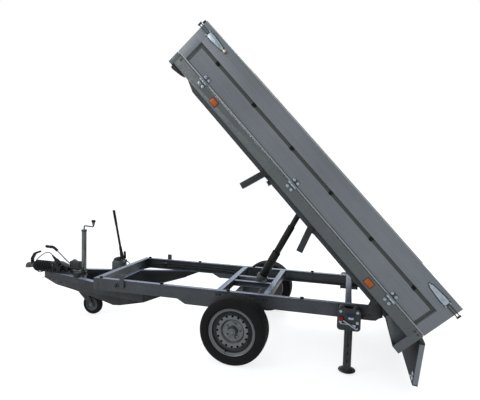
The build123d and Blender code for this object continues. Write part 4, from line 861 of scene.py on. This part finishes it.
# Tail board: capped edges in the lighter board colour beside the board's dark faces of painted shade, latch
# pegs near its free edge and hinge bolts, drawn with its hinge at zero
TAIL_HALF = 0.721
TAIL_PEG_Y = TAIL_HALF - 0.035
TAIL_PEG_W = 0.284
TAIL_HINGES_Y = (-0.520, 0.0, 0.520)
tail_edges = []
tail_pegs = []
for _, side in SIDES:
    y = side * TAIL_PEG_Y
    tail_edges.append(block((0.033, 0.003, 0.284), (-0.0185, side * (TAIL_HALF + 0.0004), 0.184)))
    tail_pegs.append(block((0.004, 0.040, 0.056), (0.001, y, TAIL_PEG_W)))
    tail_pegs.append(bar((0.001, y, TAIL_PEG_W), (0.020, y, TAIL_PEG_W), 0.008, 20, 0.0015))
for y in TAIL_HINGES_Y:
    for rise in (0.038, 0.058):
        for shift in (-0.011, 0.011):
            tail_pegs.append(bolt((0.0, y + shift, rise), (1, 0, 0), 0.010, 0.003))
hand_in(tail_edges, "tail_edges", "tail_board", "board", where=ON_TAIL)
hand_in(tail_pegs, "tail_pegs", "tail_board", "bright_zinc", where=ON_TAIL)

# Wheels, with their sections given as distance out from the wheel's mid plane and radius
TREAD = (
    (0.0745, 0.2570), (0.0655, 0.2590), (0.0500, 0.2602),
    (0.0495, 0.2530), (0.0425, 0.2530), (0.0420, 0.2608),
    (0.0200, 0.2616), (0.0195, 0.2540), (0.0115, 0.2540), (0.0110, 0.2619),
)
SIDEWALL = (
    (0.0660, 0.1712), (0.0700, 0.1735), (0.0745, 0.1820), (0.0835, 0.1865), (0.0880, 0.1930),
    (0.0915, 0.1955), (0.0922, 0.1990), (0.0945, 0.2070), (0.0950, 0.2160), (0.0945, 0.2240),
    (0.0930, 0.2300), (0.0936, 0.2320), (0.0920, 0.2350), (0.0895, 0.2420), (0.0852, 0.2500),
    (0.0800, 0.2545),
)
LINING = ((0.066, 0.247), (0.082, 0.232), (0.082, 0.200), (0.060, 0.176))
RIM_LIP = (
    (0.0765, 0.1735), (0.0770, 0.1800), (0.0800, 0.1832), (0.0838, 0.1832), (0.0856, 0.1812),
    (0.0848, 0.1788), (0.0815, 0.1760), (0.0790, 0.1735),
)
HUB_CAP = (
    (0.040, 0.0), (0.041, 0.030), (0.062, 0.0300), (0.074, 0.0285), (0.081, 0.0220), (0.0835, 0.0150),
    (0.0822, 0.0130), (0.0822, 0.0),
)
NUT_COUNT = 5
NUT_CIRCLE = 0.056
DISC_FACE = 0.043
VALVE_Z = WHEEL_Z - 0.150
BACK_PLATE_Y = 0.5575
BACK_PLATE_RADIUS = 0.172
ADJUSTER_CIRCLE = 0.118
ADJUSTER_TURNS = (-60, 0, 60)


def mirrored(half):
    return tuple((-out, radius) for out, radius in reversed(half))


def nut_seats(side):
    """Five coned seats round the hub for the wheel nuts."""
    face = side * (WHEEL_MID_Y + DISC_FACE)
    seats = []
    for nut in range(NUT_COUNT):
        angle = pi / 2 + tau * nut / NUT_COUNT
        x = WHEEL_X + cos(angle) * NUT_CIRCLE
        z = WHEEL_Z + sin(angle) * NUT_CIRCLE
        seats.append(bar((x, face - side * 0.002, z), (x, face + side * 0.005, z), 0.0165, 28, 0.001, 0.0135))
    return seats


def valve(side):
    """The rubber stem and the cap of a tyre's valve."""
    x = WHEEL_X - 0.046
    stem_start = (x + 0.001, side * (WHEEL_MID_Y + 0.055), VALVE_Z + 0.004)
    stem_end = (x, side * (WHEEL_MID_Y + 0.083), VALVE_Z)
    cap_start = (x, side * (WHEEL_MID_Y + 0.081), VALVE_Z)
    cap_end = (x, side * (WHEEL_MID_Y + 0.093), VALVE_Z - 0.001)
    return [bar(stem_start, stem_end, 0.0045, 16, 0.001), bar(cap_start, cap_end, 0.0036, 16, 0.001)]


def back_plate(side):
    """The disc that closes a brake drum, with its adjuster nuts, drawn wider than the drum so that its dark
    face fills the rim's vents as painted shade.
    """
    y = side * BACK_PLATE_Y
    pieces = [crossbar(WHEEL_X, y, y + side * 0.0035, WHEEL_Z, BACK_PLATE_RADIUS, sides=64)]
    for turn in ADJUSTER_TURNS:
        x = WHEEL_X + ADJUSTER_CIRCLE * sin(radians(turn))
        z = WHEEL_Z + ADJUSTER_CIRCLE * cos(radians(turn))
        pieces.append(bolt((x, y, z), (0, -side, 0), 0.012, 0.007))
    return pieces


for name, side in SIDES:
    body = "wheel_" + name
    hub = (WHEEL_X, side * WHEEL_MID_Y, WHEEL_Z)
    outer = SIDEWALL + TREAD
    section = outer + mirrored(outer) + mirrored(LINING) + LINING
    tyre = spun(section, hub, (0, side, 0), steps=96, angle=50)
    rim_lip = spun(RIM_LIP, hub, (0, side, 0), steps=96)
    hub_cap = spun(HUB_CAP, hub, (0, side, 0), steps=40)
    hand_in([tyre], "tyre_" + name + "_made", body, "tyre", stands_for=("tyre_" + name,))
    hand_in(nut_seats(side), "nut_seats_" + name, body, "rim")
    hand_in([rim_lip], "rim_lip_" + name, body, "rim")
    hand_in([hub_cap], "hub_cap_" + name, body, "rim", "cap_grey")
    hand_in(valve(side), "valve_" + name, body, "tyre", "black_rubber")
    hand_in(back_plate(side), "back_plate_" + name, "chassis", "cast")

# Coupling: bellows between the head and the housing, and the fixings of both
GAITER_Z = 0.012
GAITER_FRONT = 0.088
GAITER_REAR = 0.297
FOLDS = 7
FOLD_STEPS = 8


def bellows():
    """Seven soft folds between the coupling head and the housing."""
    length = GAITER_REAR - GAITER_FRONT
    last = FOLDS * FOLD_STEPS
    section = [(GAITER_FRONT, 0.036), (GAITER_FRONT, 0.046)]
    for index in range(last + 1):
        share = (index % FOLD_STEPS) / FOLD_STEPS
        crest = sin(pi * share) ** 0.7 if index % FOLD_STEPS else 0.0
        section.append((GAITER_FRONT + 0.004 + (length - 0.008) * index / last, 0.047 + 0.0125 * crest))
    section += [(GAITER_REAR, 0.046), (GAITER_REAR, 0.036)]
    return spun(section, (0, 0, GAITER_Z), (1, 0, 0), steps=56, angle=60)


def gaiter_clamp(x):
    section = ((-0.004, 0.0468), (0.004, 0.0468), (0.004, 0.0492), (-0.004, 0.0492))
    return spun(section, (x, 0, GAITER_Z), (1, 0, 0), steps=56)


# x, z, half length and radius of the coupling's two cross pins
COUPLING_PINS = ((0.036, 0.030, 0.033, 0.0062), (0.062, 0.012, 0.031, 0.0075))
# x and y of the bolts through the housing's foot
FOOT_BOLTS = ((0.345, 0.062), (0.475, 0.062), (0.555, 0.066), (0.625, 0.066))
FOOT_TOP_Z = -0.0090
# two round plugs high on each side of the housing
PLUGS_X = (0.330, 0.400)
PLUGS_Z = 0.040
# x and depth of the bolts along the lower front edge of the arms, which spread as they run back
ARM_BOLTS = ((0.290, 0.075), (0.330, 0.083), (0.392, 0.092), (0.505, 0.104))
ARMS_START_X = 0.250
ARMS_START_Y = 0.060
ARMS_SPREAD = 0.30

coupling_fixings = []
housing_fixings = []
arm_fixings = []
for x, z, half, radius in COUPLING_PINS:
    coupling_fixings.append(crossbar(x, -half, half, z, radius))
    for _, side in SIDES:
        coupling_fixings.append(bolt((x, side * 0.029, z), (0, side, 0), 0.014, 0.009))

for _, side in SIDES:
    for x, y in FOOT_BOLTS:
        housing_fixings.append(bolt((x, side * y, FOOT_TOP_Z), (0, 0, 1), 0.016, 0.011))
    for x in PLUGS_X:
        housing_fixings.append(crossbar(x, side * 0.040, side * 0.048, PLUGS_Z, 0.008, sides=20))
        housing_fixings.append(crossbar(x, side * 0.046, side * 0.050, PLUGS_Z, 0.0035, sides=12, bevel=0.0))
    for x, drop in ARM_BOLTS:
        y = side * (ARMS_START_Y + (x - ARMS_START_X) * ARMS_SPREAD)
        arm_fixings.append(bolt((x, y, -drop), (0, 0, -1), 0.014, 0.011))

hand_in([bellows()], "gaiter_made", "chassis", "black_rubber", stands_for=("coupling_gaiter",))
hand_in([gaiter_clamp(0.0905), gaiter_clamp(0.2935)], "gaiter_clamps", "chassis", "black_plastic")
hand_in(coupling_fixings, "coupling_bolts", "chassis", "bright_zinc", "dull_bolt")
hand_in(housing_fixings, "housing_bolts", "chassis", "bright_zinc", "dull_bolt")
hand_in(arm_fixings, "arm_bolts", "chassis", "galvanised", "stand_zinc")

# Handbrake: lever, grip and toothed arc, and the block that they stand on
LEVER_ROUTE = (
    (0.560, 0, 0.037), (0.506, 0, 0.061), (0.378, 0, 0.169), (0.318, 0, 0.212), (0.300, 0, 0.2215),
    (0.216, 0, 0.222),
)
GRIP_ROUTE = (
    (0.352, 0, 0.190), (0.332, 0, 0.204), (0.312, 0, 0.2175), (0.296, 0, 0.222), (0.236, 0, 0.223),
    (0.214, 0, 0.226),
)
GRIP_RIBS = 6
RIB_STEP = 0.012
ARC_TEETH = 15
ARC_Z = 0.012
ARC_REACH = 0.098
ARC_NARROWING = 0.62
RELAY_X = 0.580


def handbrake_arc():
    """A plate with a row of teeth round its upper edge, beside the lever's foot."""
    x = LEVER_ROUTE[0][0]
    outline = [(x + 0.052, ARC_Z - 0.010), (x - 0.060, ARC_Z - 0.010)]
    for tooth in range(ARC_TEETH):
        for part, lift in ((0.0, 0.0), (0.45, 0.004), (0.9, 0.0)):
            angle = radians(172 - 118 * (tooth + part) / ARC_TEETH)
            reach = ARC_REACH + lift
            outline.append((x + cos(angle) * reach * ARC_NARROWING, ARC_Z + sin(angle) * reach))
    return plate(outline, 0.012, 0.017, bevel=0.0006, segments=1)


def grip_rib(x):
    section = ((0.0, 0.0135), (0.002, 0.0151), (0.006, 0.0151), (0.008, 0.0135))
    return spun(section, (x, 0, 0.2235), (1, 0, 0), steps=32)


relay = [
    block((0.116, 0.050, 0.089), (RELAY_X, 0, 0.0525), bevel=0.009, segments=3),
    block((0.116, 0.050, 0.031), (RELAY_X, 0, -0.0325), bevel=0.006, segments=3),
    block((0.124, 0.010, 0.020), (RELAY_X, -0.028, 0.030), bevel=0.003),
]
ribs = [grip_rib(0.226 + RIB_STEP * index) for index in range(GRIP_RIBS)]
grip = [rod_along(GRIP_ROUTE, 0.0150, 12)] + ribs
brake_lever = [rod_along(LEVER_ROUTE, 0.0078, 10), handbrake_arc()]
hand_in(brake_lever, "handbrake_lever", "chassis", "bright_zinc", "lever_grey", stands_for=("handbrake",))
hand_in(relay, "brake_relay", "chassis", "galvanised", "stand_zinc")
hand_in(grip, "handbrake_grip", "chassis", "black_plastic")

# Breakaway cable, from the handbrake's foot to the towing end
BREAKAWAY_ROUTE = (
    (0.520, -0.052, 0.040), (0.460, -0.075, 0.020), (0.380, -0.086, -0.040), (0.300, -0.082, -0.074),
    (0.250, -0.070, -0.088), (0.205, -0.060, -0.098),
)
hand_in([rod_along(BREAKAWAY_ROUTE, 0.0022)], "breakaway_cable", "chassis", "black_steel")

# Jockey wheel: collars, crank knob, clamp handle, tread, disc and axle nuts
JOCKEY_X = 0.738
JOCKEY_Y = -0.080
JOCKEY_AXLE = Vector((0.846, JOCKEY_Y, -0.302))
CRANK_REACH = 0.108
CRANK_KNOB = (
    (0.490, 0.0), (0.490, 0.0085), (0.512, 0.0095), (0.524, 0.0150), (0.532, 0.0205), (0.541, 0.0210),
    (0.549, 0.0160), (0.551, 0.0),
)
SMALL_TREAD = (
    (0.0060, 0.1030), (0.0065, 0.1000), (0.0100, 0.1000), (0.0105, 0.1025), (0.0170, 0.1010),
    (0.0225, 0.096), (0.0250, 0.088), (0.0250, 0.070), (0.0225, 0.062),
)
SMALL_DISC = (
    (0.0260, 0.0082), (0.0260, 0.023), (0.0100, 0.028), (0.0090, 0.040), (0.0110, 0.050),
    (0.0225, 0.056), (0.0255, 0.064), (0.0240, 0.062),
)


def jockey_collar(z, radius, depth):
    return bar((JOCKEY_X, JOCKEY_Y, z - depth / 2), (JOCKEY_X, JOCKEY_Y, z + depth / 2), radius, 40, 0.002)


CLAMP_SCREW_Y = JOCKEY_Y - 0.018
CLAMP_SCREW_Z = -0.008
screw_front = (JOCKEY_X - 0.042, CLAMP_SCREW_Y, CLAMP_SCREW_Z)
screw_rear = (JOCKEY_X + 0.052, CLAMP_SCREW_Y, CLAMP_SCREW_Z)
handle_foot = (JOCKEY_X + 0.046, CLAMP_SCREW_Y, -0.010)
handle_end = (JOCKEY_X + 0.060, JOCKEY_Y - 0.052, 0.036)
clamp_parts = [
    bar(screw_front, screw_rear, 0.0065, 20, 0.001),
    block((0.012, 0.014, 0.052), (JOCKEY_X - 0.040, JOCKEY_Y - 0.014, -0.004), bevel=0.003),
    bar(handle_foot, handle_end, 0.0050, 18, 0.001),
]
crank_knob = spun(CRANK_KNOB, (JOCKEY_X + CRANK_REACH, JOCKEY_Y, 0), (0, 0, 1), steps=40)
small_tyre = spun(mirrored(SMALL_TREAD) + SMALL_TREAD, JOCKEY_AXLE, (0, 1, 0), angle=45)
small_disc = spun(mirrored(SMALL_DISC) + SMALL_DISC, JOCKEY_AXLE, (0, 1, 0), angle=40)
axle_nuts = []
for _, side in SIDES:
    nut_place = JOCKEY_AXLE + Vector((0, side * 0.0355, 0))
    axle_nuts.append(bolt(nut_place, (0, side, 0), 0.019, 0.010))
collars = [jockey_collar(0.434, 0.0285, 0.010), jockey_collar(-0.052, 0.0265, 0.012)]
hand_in(collars, "jockey_collars", "chassis", "galvanised", "stand_zinc")
hand_in([crank_knob], "crank_knob", "chassis", "black_plastic")
hand_in(clamp_parts, "clamp_handle", "chassis", "bright_zinc", "dull_bolt")
hand_in([small_tyre], "jockey_tyre_made", "jockey_wheel", "tyre", stands_for=("jockey_wheel",))
hand_in([small_disc], "jockey_disc", "jockey_wheel", "rim", "wheel_plastic")
hand_in(axle_nuts, "jockey_axle_nuts", "jockey_fork", "bright_zinc", "dull_bolt")

# Hand pump: ribbed tank, cap ring, knuckle, lever and fittings, placed from the foot of the tank
PUMP = Vector((0.940, 0.250, -0.017))
PUMP_LEAN = radians(-12)
LEAN_OUT = Vector((sin(PUMP_LEAN), 0, cos(PUMP_LEAN)))
SOCKET_TOP = PUMP + Vector((0.022, 0, 0.190))
TANK = (
    (0.0, 0.0), (0.0, 0.076), (0.003, 0.0785), (0.010, 0.0785), (0.014, 0.0765), (0.040, 0.0765),
    (0.043, 0.0785), (0.050, 0.0785), (0.053, 0.0765), (0.078, 0.0765), (0.088, 0.074), (0.102, 0.066),
    (0.114, 0.054), (0.121, 0.040), (0.124, 0.0),
)
CAP_RING = (
    (0.117, 0.045), (0.110, 0.060), (0.116, 0.062), (0.127, 0.050), (0.136, 0.028), (0.138, 0.0),
    (0.118, 0.0),
)
# start and end along the lever, with the radius at each
LEVER_SPANS = (
    (0.0, 0.059, 0.0155, 0.0155),
    (0.054, 0.306, 0.0122, 0.0118),
    (0.300, 0.458, 0.0136, 0.0140),
    (0.454, 0.463, 0.0112, 0.0100),
)


def at_pump(x, y, z):
    return PUMP + Vector((x, y, z))


def strap(side):
    """A cheek that carries the lever's socket on the tank."""
    corners = ((0.040, 0.118), (0.066, 0.120), (0.062, 0.190), (0.052, 0.204), (0.036, 0.196))
    outline = [(PUMP.x + x, PUMP.z + z) for x, z in corners]
    y = PUMP.y + side * 0.024
    return plate(outline, y, y + side * 0.005)


def lever_span(low, high, low_radius, high_radius):
    return bar(SOCKET_TOP + LEAN_OUT * low, SOCKET_TOP + LEAN_OUT * high, low_radius, 28, 0.0012, high_radius)


knuckle = [
    spun(CAP_RING, PUMP, (0, 0, 1), steps=56),
    bar(SOCKET_TOP - LEAN_OUT * 0.088, SOCKET_TOP, 0.0195, 32, 0.003),
    block((0.030, 0.052, 0.044), SOCKET_TOP - LEAN_OUT * 0.066, bevel=0.005, turn=PUMP_LEAN),
    crossbar(SOCKET_TOP.x, PUMP.y - 0.032, PUMP.y + 0.032, SOCKET_TOP.z - 0.066, 0.007, sides=20),
    strap(-1),
    strap(1),
]
pump_fittings = [
    bolt(at_pump(0.050, -0.030, 0.112), (0.3, 0, 1), 0.018, 0.014),
    bolt(at_pump(0.066, 0.020, 0.100), (1, 0, 0.4), 0.016, 0.016),
    bar(at_pump(0.074, -0.010, 0.062), at_pump(0.092, -0.010, 0.070), 0.009, 24, 0.0015),
]
tank = spun(TANK, PUMP, (0, 0, 1), angle=40)
lever_tubes = [lever_span(*span) for span in LEVER_SPANS]
hand_in([tank], "pump_tank", "chassis", "black_steel", "tank_grey", stands_for=("hand_pump",))
hand_in(knuckle, "pump_knuckle", "chassis", "black_steel")
hand_in(lever_tubes, "pump_lever_made", "chassis", "black_steel", "black_paint", stands_for=("pump_lever",))
hand_in(pump_fittings, "pump_fittings", "chassis", "bright_zinc", "dull_bolt")

# Pipe from the pump to the ram, the lamps' loom in the left rail, and a brake cable in each rail
PIPE_ROUTE = (
    (1.012, 0.240, 0.048), (1.030, 0.240, 0.085), (1.062, 0.236, 0.078), (1.090, 0.240, 0.030),
    (1.110, 0.270, -0.008), (1.160, 0.380, -0.010), (1.230, 0.440, 0.020), (1.400, 0.452, 0.040),
    (2.240, 0.452, 0.040), (2.345, 0.440, 0.020), (2.352, 0.300, -0.020), (2.360, 0.110, -0.060),
    (2.395, 0.050, -0.090),
)
LOOM_ROUTE = (
    (0.420, -0.060, 0.020), (0.560, -0.120, -0.024), (0.760, -0.200, -0.028), (1.120, -0.330, -0.026),
    (1.220, -0.436, -0.006), (1.600, -0.437, -0.006), (2.700, -0.437, -0.006), (3.380, -0.437, -0.008),
    (3.470, -0.420, -0.010),
)
BRAKE_ROUTE = (
    (0.630, 0.020, -0.030), (0.700, 0.100, -0.034), (0.860, 0.230, -0.034), (1.120, 0.335, -0.030),
    (1.230, 0.440, 0.000), (1.600, 0.450, 0.016), (2.240, 0.450, 0.016), (2.330, 0.440, -0.040),
    (2.420, 0.500, -0.110), (2.452, 0.556, -0.130),
)
brake_cables = [rod_along([(x, side * y, z) for x, y, z in BRAKE_ROUTE], 0.0055) for _, side in SIDES]
hand_in([rod_along(PIPE_ROUTE, 0.0048)], "ram_pipe", "chassis", "black_rubber")
hand_in([rod_along(LOOM_ROUTE, 0.0042)], "lamp_loom", "chassis", "black_rubber")
hand_in(brake_cables, "brake_cables", "chassis", "black_rubber")

# Prop stands: bolts, lever, red knob and spring catch on the cover, and the leg with its drilled holes
STAND_X = 3.346
STAND_Y = 0.553
COVER_Y = 0.597
RED_KNOB = (
    (0.0, 0.0), (0.0, 0.012), (0.005, 0.0125), (0.012, 0.0165), (0.020, 0.0175), (0.026, 0.0150),
    (0.028, 0.0),
)
# height and radius, from the floor up and back down inside the tube
LEG_SECTION = (
    (0.0005, 0.0), (0.0005, 0.030), (0.008, 0.050), (0.014, 0.061), (0.0160, 0.0635), (0.0185, 0.0640),
    (0.0208, 0.0625), (0.0205, 0.0590), (0.0255, 0.046), (0.0325, 0.038), (0.0345, 0.0335), (0.0400, 0.0325),
    (0.0420, 0.0300), (0.4700, 0.0300), (0.4700, 0.0265), (0.0440, 0.0265), (0.0420, 0.0),
)
LEG_HOLES = (0.090, 0.150, 0.210)


def prop_leg(side):
    """The leg with its foot plate, and the holes that its pin goes through."""
    y = side * STAND_Y
    leg = spun(LEG_SECTION, (STAND_X, y, FLOOR), (0, 0, 1), steps=56)
    drill = joined([crossbar(STAND_X, y - 0.050, y + 0.050, FLOOR + up, 0.0055, 20, 0.0) for up in LEG_HOLES])
    drilled = leg.modifiers.new("holes", "BOOLEAN")
    drilled.operation = "DIFFERENCE"
    drilled.solver = "EXACT"
    drilled.object = drill
    bpy.context.view_layer.objects.active = leg
    bpy.ops.object.modifier_apply(modifier=drilled.name)
    bpy.data.objects.remove(drill)
    return leg


for name, side in SIDES:

    def on_cover(x, out, z):
        return (STAND_X + x, side * (COVER_Y + out), z)

    fixings = [
        block((0.034, 0.006, 0.016), on_cover(0.016, 0.003, 0.018), bevel=0.0015),
        bar(on_cover(0.004, 0, 0.026), on_cover(0.004, 0.026, 0.026), 0.0095, 24, 0.0015),
    ]
    for x in (-0.060, 0.060):
        for z in (0.064, -0.012):
            fixings.append(bolt(on_cover(x, 0, z), (0, side, 0), 0.011, 0.008))
    lever = [
        bar(on_cover(-0.040, 0.016, 0.004), on_cover(0.056, 0.014, -0.056), 0.0050, 18, 0.001),
        bar(on_cover(-0.062, 0.001, -0.026), on_cover(0.012, 0.001, -0.026), 0.0045, 18, 0.001),
        bar(on_cover(0.056, 0.014, -0.056), on_cover(0.064, 0.006, -0.044), 0.0065, 18, 0.001),
        block((0.030, 0.010, 0.022), on_cover(0.034, 0.005, -0.036), bevel=0.002),
    ]
    catch = [
        bar(on_cover(0.004, 0.004, 0.046), on_cover(0.034, 0.004, 0.046), 0.0075, 20, 0.001),
        block((0.020, 0.012, 0.014), on_cover(-0.014, 0.005, 0.046), bevel=0.002),
    ]
    knob = spun(RED_KNOB, on_cover(-0.056, 0, 0.014), (0, side, 0), steps=32)
    leg = "prop_leg_" + name
    hand_in(fixings, "prop_bolts_" + name, "chassis", "bright_zinc")
    hand_in(lever, "prop_lever_" + name, "chassis", "bright_zinc")
    hand_in([knob], "prop_knob_" + name, "chassis", "red_lens", "red_plastic")
    hand_in(catch, "prop_catch_" + name, "chassis", "black_plastic", "blue_plastic")
    hand_in([prop_leg(side)], leg + "_made", leg, "bright_zinc", "stand_zinc", stands_for=(leg,))


# Telescopic ram, drawn along its own axis from the foot pin
def ram_collar(low, high, bore, outer):
    chamfer = 0.003
    section = (
        (low, bore), (low, outer - chamfer), (low + chamfer, outer), (high - chamfer, outer),
        (high, outer - chamfer), (high, bore + 0.002), (high - 0.001, bore),
    )
    return spun(section, (0, 0, 0), (0, 0, 1), steps=48)


# body, slot, finish, low and high end, bore and outer radius
RAM_COLLARS = (
    ("ram_barrel", "ram_grey", "ram_light", 0.030, 0.105, 0.0420, 0.0485),
    ("ram_barrel", "ram_grey", None, 0.286, 0.3195, 0.0386, 0.0515),
    ("ram_stage_one", "black_steel", None, 0.5662, 0.5718, 0.0318, 0.0402),
    ("ram_stage_two", "black_steel", None, 0.8325, 0.8436, 0.0258, 0.0318),
)
for index, (body, slot, finish, *sizes) in enumerate(RAM_COLLARS):
    hand_in([ram_collar(*sizes)], body + "_collar_" + str(index), body, slot, finish, where=ON_RAM)
UNION_UP = 0.070
union = [
    bar((0.044, 0, UNION_UP), (0.064, 0, UNION_UP), 0.0095, 24, 0.0015),
    bar((0.060, 0, UNION_UP), (0.072, 0, UNION_UP), 0.0070, 6, 0.001),
    bolt((-0.048, 0, UNION_UP), (-1, 0, 0), 0.014, 0.010),
]
hand_in(union, "ram_union", "ram_barrel", "bright_zinc", "dull_bolt", where=ON_RAM)

# Bolts and plates of the frame: ram pins, tipping ears, cross members, rail ends and lashing rings
RAIL_MID_Z = 0.0355
END_PLATE_X = 1.157
CROSS_MEMBERS_X = (2.303, 2.696)
# x and z of the bolts that hold a tipping ear to its rail
EAR_BOLTS = ((3.458, 0.062), (3.490, 0.014), (3.452, 0.006))
RING_SECTION = (
    (-0.004, 0.0168), (0.0022, 0.0168), (0.0034, 0.0190), (0.0028, 0.0225), (0.0005, 0.0235),
    (-0.0010, 0.0235),
)
pin_ends = []
ear_nuts = []
frame_bolts = []
rail_ends = []
rings = []
for _, side in SIDES:
    out = (0, side, 0)
    pin_ends.append(bolt((RAM_FOOT.x, side * 0.066, RAM_FOOT.z), out, 0.024, 0.012))
    ear_nuts.append(bolt((PIVOT.x, side * 0.503, PIVOT.z), out, 0.024, 0.012))
    for x, z in EAR_BOLTS:
        ear_nuts.append(bolt((x, side * 0.496, z), out, 0.016, 0.010))
    for x in CROSS_MEMBERS_X:
        for shift in (-0.014, 0.014):
            frame_bolts.append(bolt((x + shift, side * RAIL_Y, 0.058), out, 0.012, 0.007))
    rail_ends.append(block((0.049, 0.003, 0.1045), (END_PLATE_X, side * (RAIL_Y + 0.0002), RAIL_MID_Z)))
    rail_ends.append(crossbar(LASHING_X, side * 0.462, side * 0.474, LASHING_Z, 0.022, 40, 0.002))
    rings.append(spun(RING_SECTION, (LASHING_X, side * RAIL_Y, LASHING_Z), out, steps=48))
hand_in(pin_ends, "ram_pin_nuts", "chassis", "bright_zinc", "dull_bolt")
hand_in(ear_nuts, "ear_bolts", "chassis", "galvanised", "stand_zinc")
hand_in(frame_bolts, "frame_bolts", "chassis", "galvanised", "stand_zinc")
hand_in(rail_ends, "rail_end_plates", "chassis", "galvanised")
hand_in(rings, "lashing_rings", "chassis", "galvanised", "stand_zinc")

# Frames and turn lenses of the rear lamps, and frames of the side reflectors
LAMP_Y = HALF_WIDTH - 0.127
LAMP_W = -0.039
REFLECTOR_PLACES = (0.484, 2.167)
lamp_frames = []
turn_lenses = []
reflector_frames = []
for _, side in SIDES:
    frame_centre = (BED_REAR - 0.001, side * LAMP_Y, LAMP_W)
    lens_centre = (BED_REAR + 0.0060, side * (LAMP_Y + 0.070), LAMP_W)
    lamp_frames.append(block((0.012, 0.226, 0.068), frame_centre, bevel=0.004, segments=3))
    turn_lenses.append(block((0.006, 0.062, 0.050), lens_centre, bevel=0.0015))
    for place in REFLECTOR_PLACES:
        centre = (BED_REAR - place, side * (HALF_WIDTH + 0.0005), 0.0785)
        reflector_frames.append(block((0.070, 0.0030, 0.048), centre))
hand_in(lamp_frames, "lamp_frames", "bed", "black_plastic", where=ON_BED)
hand_in(turn_lenses, "turn_lenses", "bed", "orange_lens", where=ON_BED)
hand_in(reflector_frames, "reflector_frames", "bed", "black_plastic", where=ON_BED)

# Floor, light and camera
CAMERA_PLACE = (3.3053, -3.6182, 1.0411)
CAMERA_YAW = radians(14.952)
CAMERA_PITCH = radians(-3.533)
CAMERA_ROLL = radians(1.573)
CAMERA_LENS = 30.47
SUBJECT = Vector((2.0, 0, 0.35))
WHITE = (1, 1, 1, 1)
FLOOR_GREY = (0.38, 0.38, 0.38, 1)
FLOOR_GLOW = 0.80
SKY = (0.84, 0.91, 1.0, 1)
SKY_LIGHT = 0.80


def seen_as_background(tree):
    """1 for a ray from the camera, off a glossy face or through a lens, and 0 for the light on the object."""
    path = tree.nodes.new("ShaderNodeLightPath")
    seen = path.outputs["Is Camera Ray"]
    for name in ("Is Glossy Ray", "Is Transmission Ray"):
        either = tree.nodes.new("ShaderNodeMath")
        either.operation = "MAXIMUM"
        tree.links.new(seen, either.inputs[0])
        tree.links.new(path.outputs[name], either.inputs[1])
        seen = either.outputs["Value"]
    return seen


def lay_floor():
    bpy.ops.mesh.primitive_plane_add(size=60, location=(2, 10, FLOOR))
    floor = active()
    floor.name = "floor"
    material = bpy.data.materials.new("floor_paper")
    material.use_nodes = True
    tree = material.node_tree
    surface = tree.nodes["Principled BSDF"]
    for setting, value in (
        ("Roughness", 0.9),
        ("Specular IOR Level", 0.0),
        ("Base Color", FLOOR_GREY),
        ("Emission Color", WHITE),
    ):
        surface.inputs[setting].default_value = value
    glow = shader(material, "Math", {"operation": "MULTIPLY"})
    glow.inputs[1].default_value = FLOOR_GLOW
    tree.links.new(seen_as_background(tree), glow.inputs[0])
    tree.links.new(glow.outputs["Value"], surface.inputs["Emission Strength"])
    floor.data.materials.append(material)


def hang_lamp(name, place, size, power):
    lamp = bpy.data.lights.new(name, "AREA")
    lamp.shape = "DISK"
    lamp.size = size
    lamp.energy = power
    holder = bpy.data.objects.new(name, lamp)
    bpy.context.scene.collection.objects.link(holder)
    holder.location = place
    aim = SUBJECT - Vector(place)
    holder.rotation_euler = aim.to_track_quat("-Z", "Y").to_euler()


def fill_world():
    world = bpy.data.worlds.new("studio")
    bpy.context.scene.world = world
    world.use_nodes = True
    tree = world.node_tree
    backdrop = tree.nodes["Background"]
    seen = seen_as_background(tree)
    level = tree.nodes.new("ShaderNodeMapRange")
    level.inputs["To Min"].default_value = SKY_LIGHT
    colour = tree.nodes.new("ShaderNodeMixRGB")
    colour.inputs["Color1"].default_value = SKY
    colour.inputs["Color2"].default_value = WHITE
    tree.links.new(seen, level.inputs["Value"])
    tree.links.new(seen, colour.inputs["Fac"])
    tree.links.new(colour.outputs["Color"], backdrop.inputs["Color"])
    tree.links.new(level.outputs["Result"], backdrop.inputs["Strength"])


def set_camera():
    camera = bpy.data.objects.new("camera", bpy.data.cameras.new("camera"))
    bpy.context.scene.collection.objects.link(camera)
    camera.data.sensor_width = 36
    camera.data.lens = CAMERA_LENS
    camera.data.clip_end = 200
    camera.matrix_world = (
        Matrix.Translation(CAMERA_PLACE)
        @ Matrix.Rotation(CAMERA_YAW, 4, "Z")
        @ Matrix.Rotation(pi / 2 + CAMERA_PITCH, 4, "X")
        @ Matrix.Rotation(CAMERA_ROLL, 4, "Z")
    )
    bpy.context.scene.camera = camera


lay_floor()
fill_world()
hang_lamp("far_lamp", (3.0, 4.5, 5.0), 4.0, 220)
hang_lamp("near_lamp", (-0.8, -3.8, 3.2), 3.0, 55)
set_camera()
bpy.context.scene.view_settings.view_transform = "Standard"
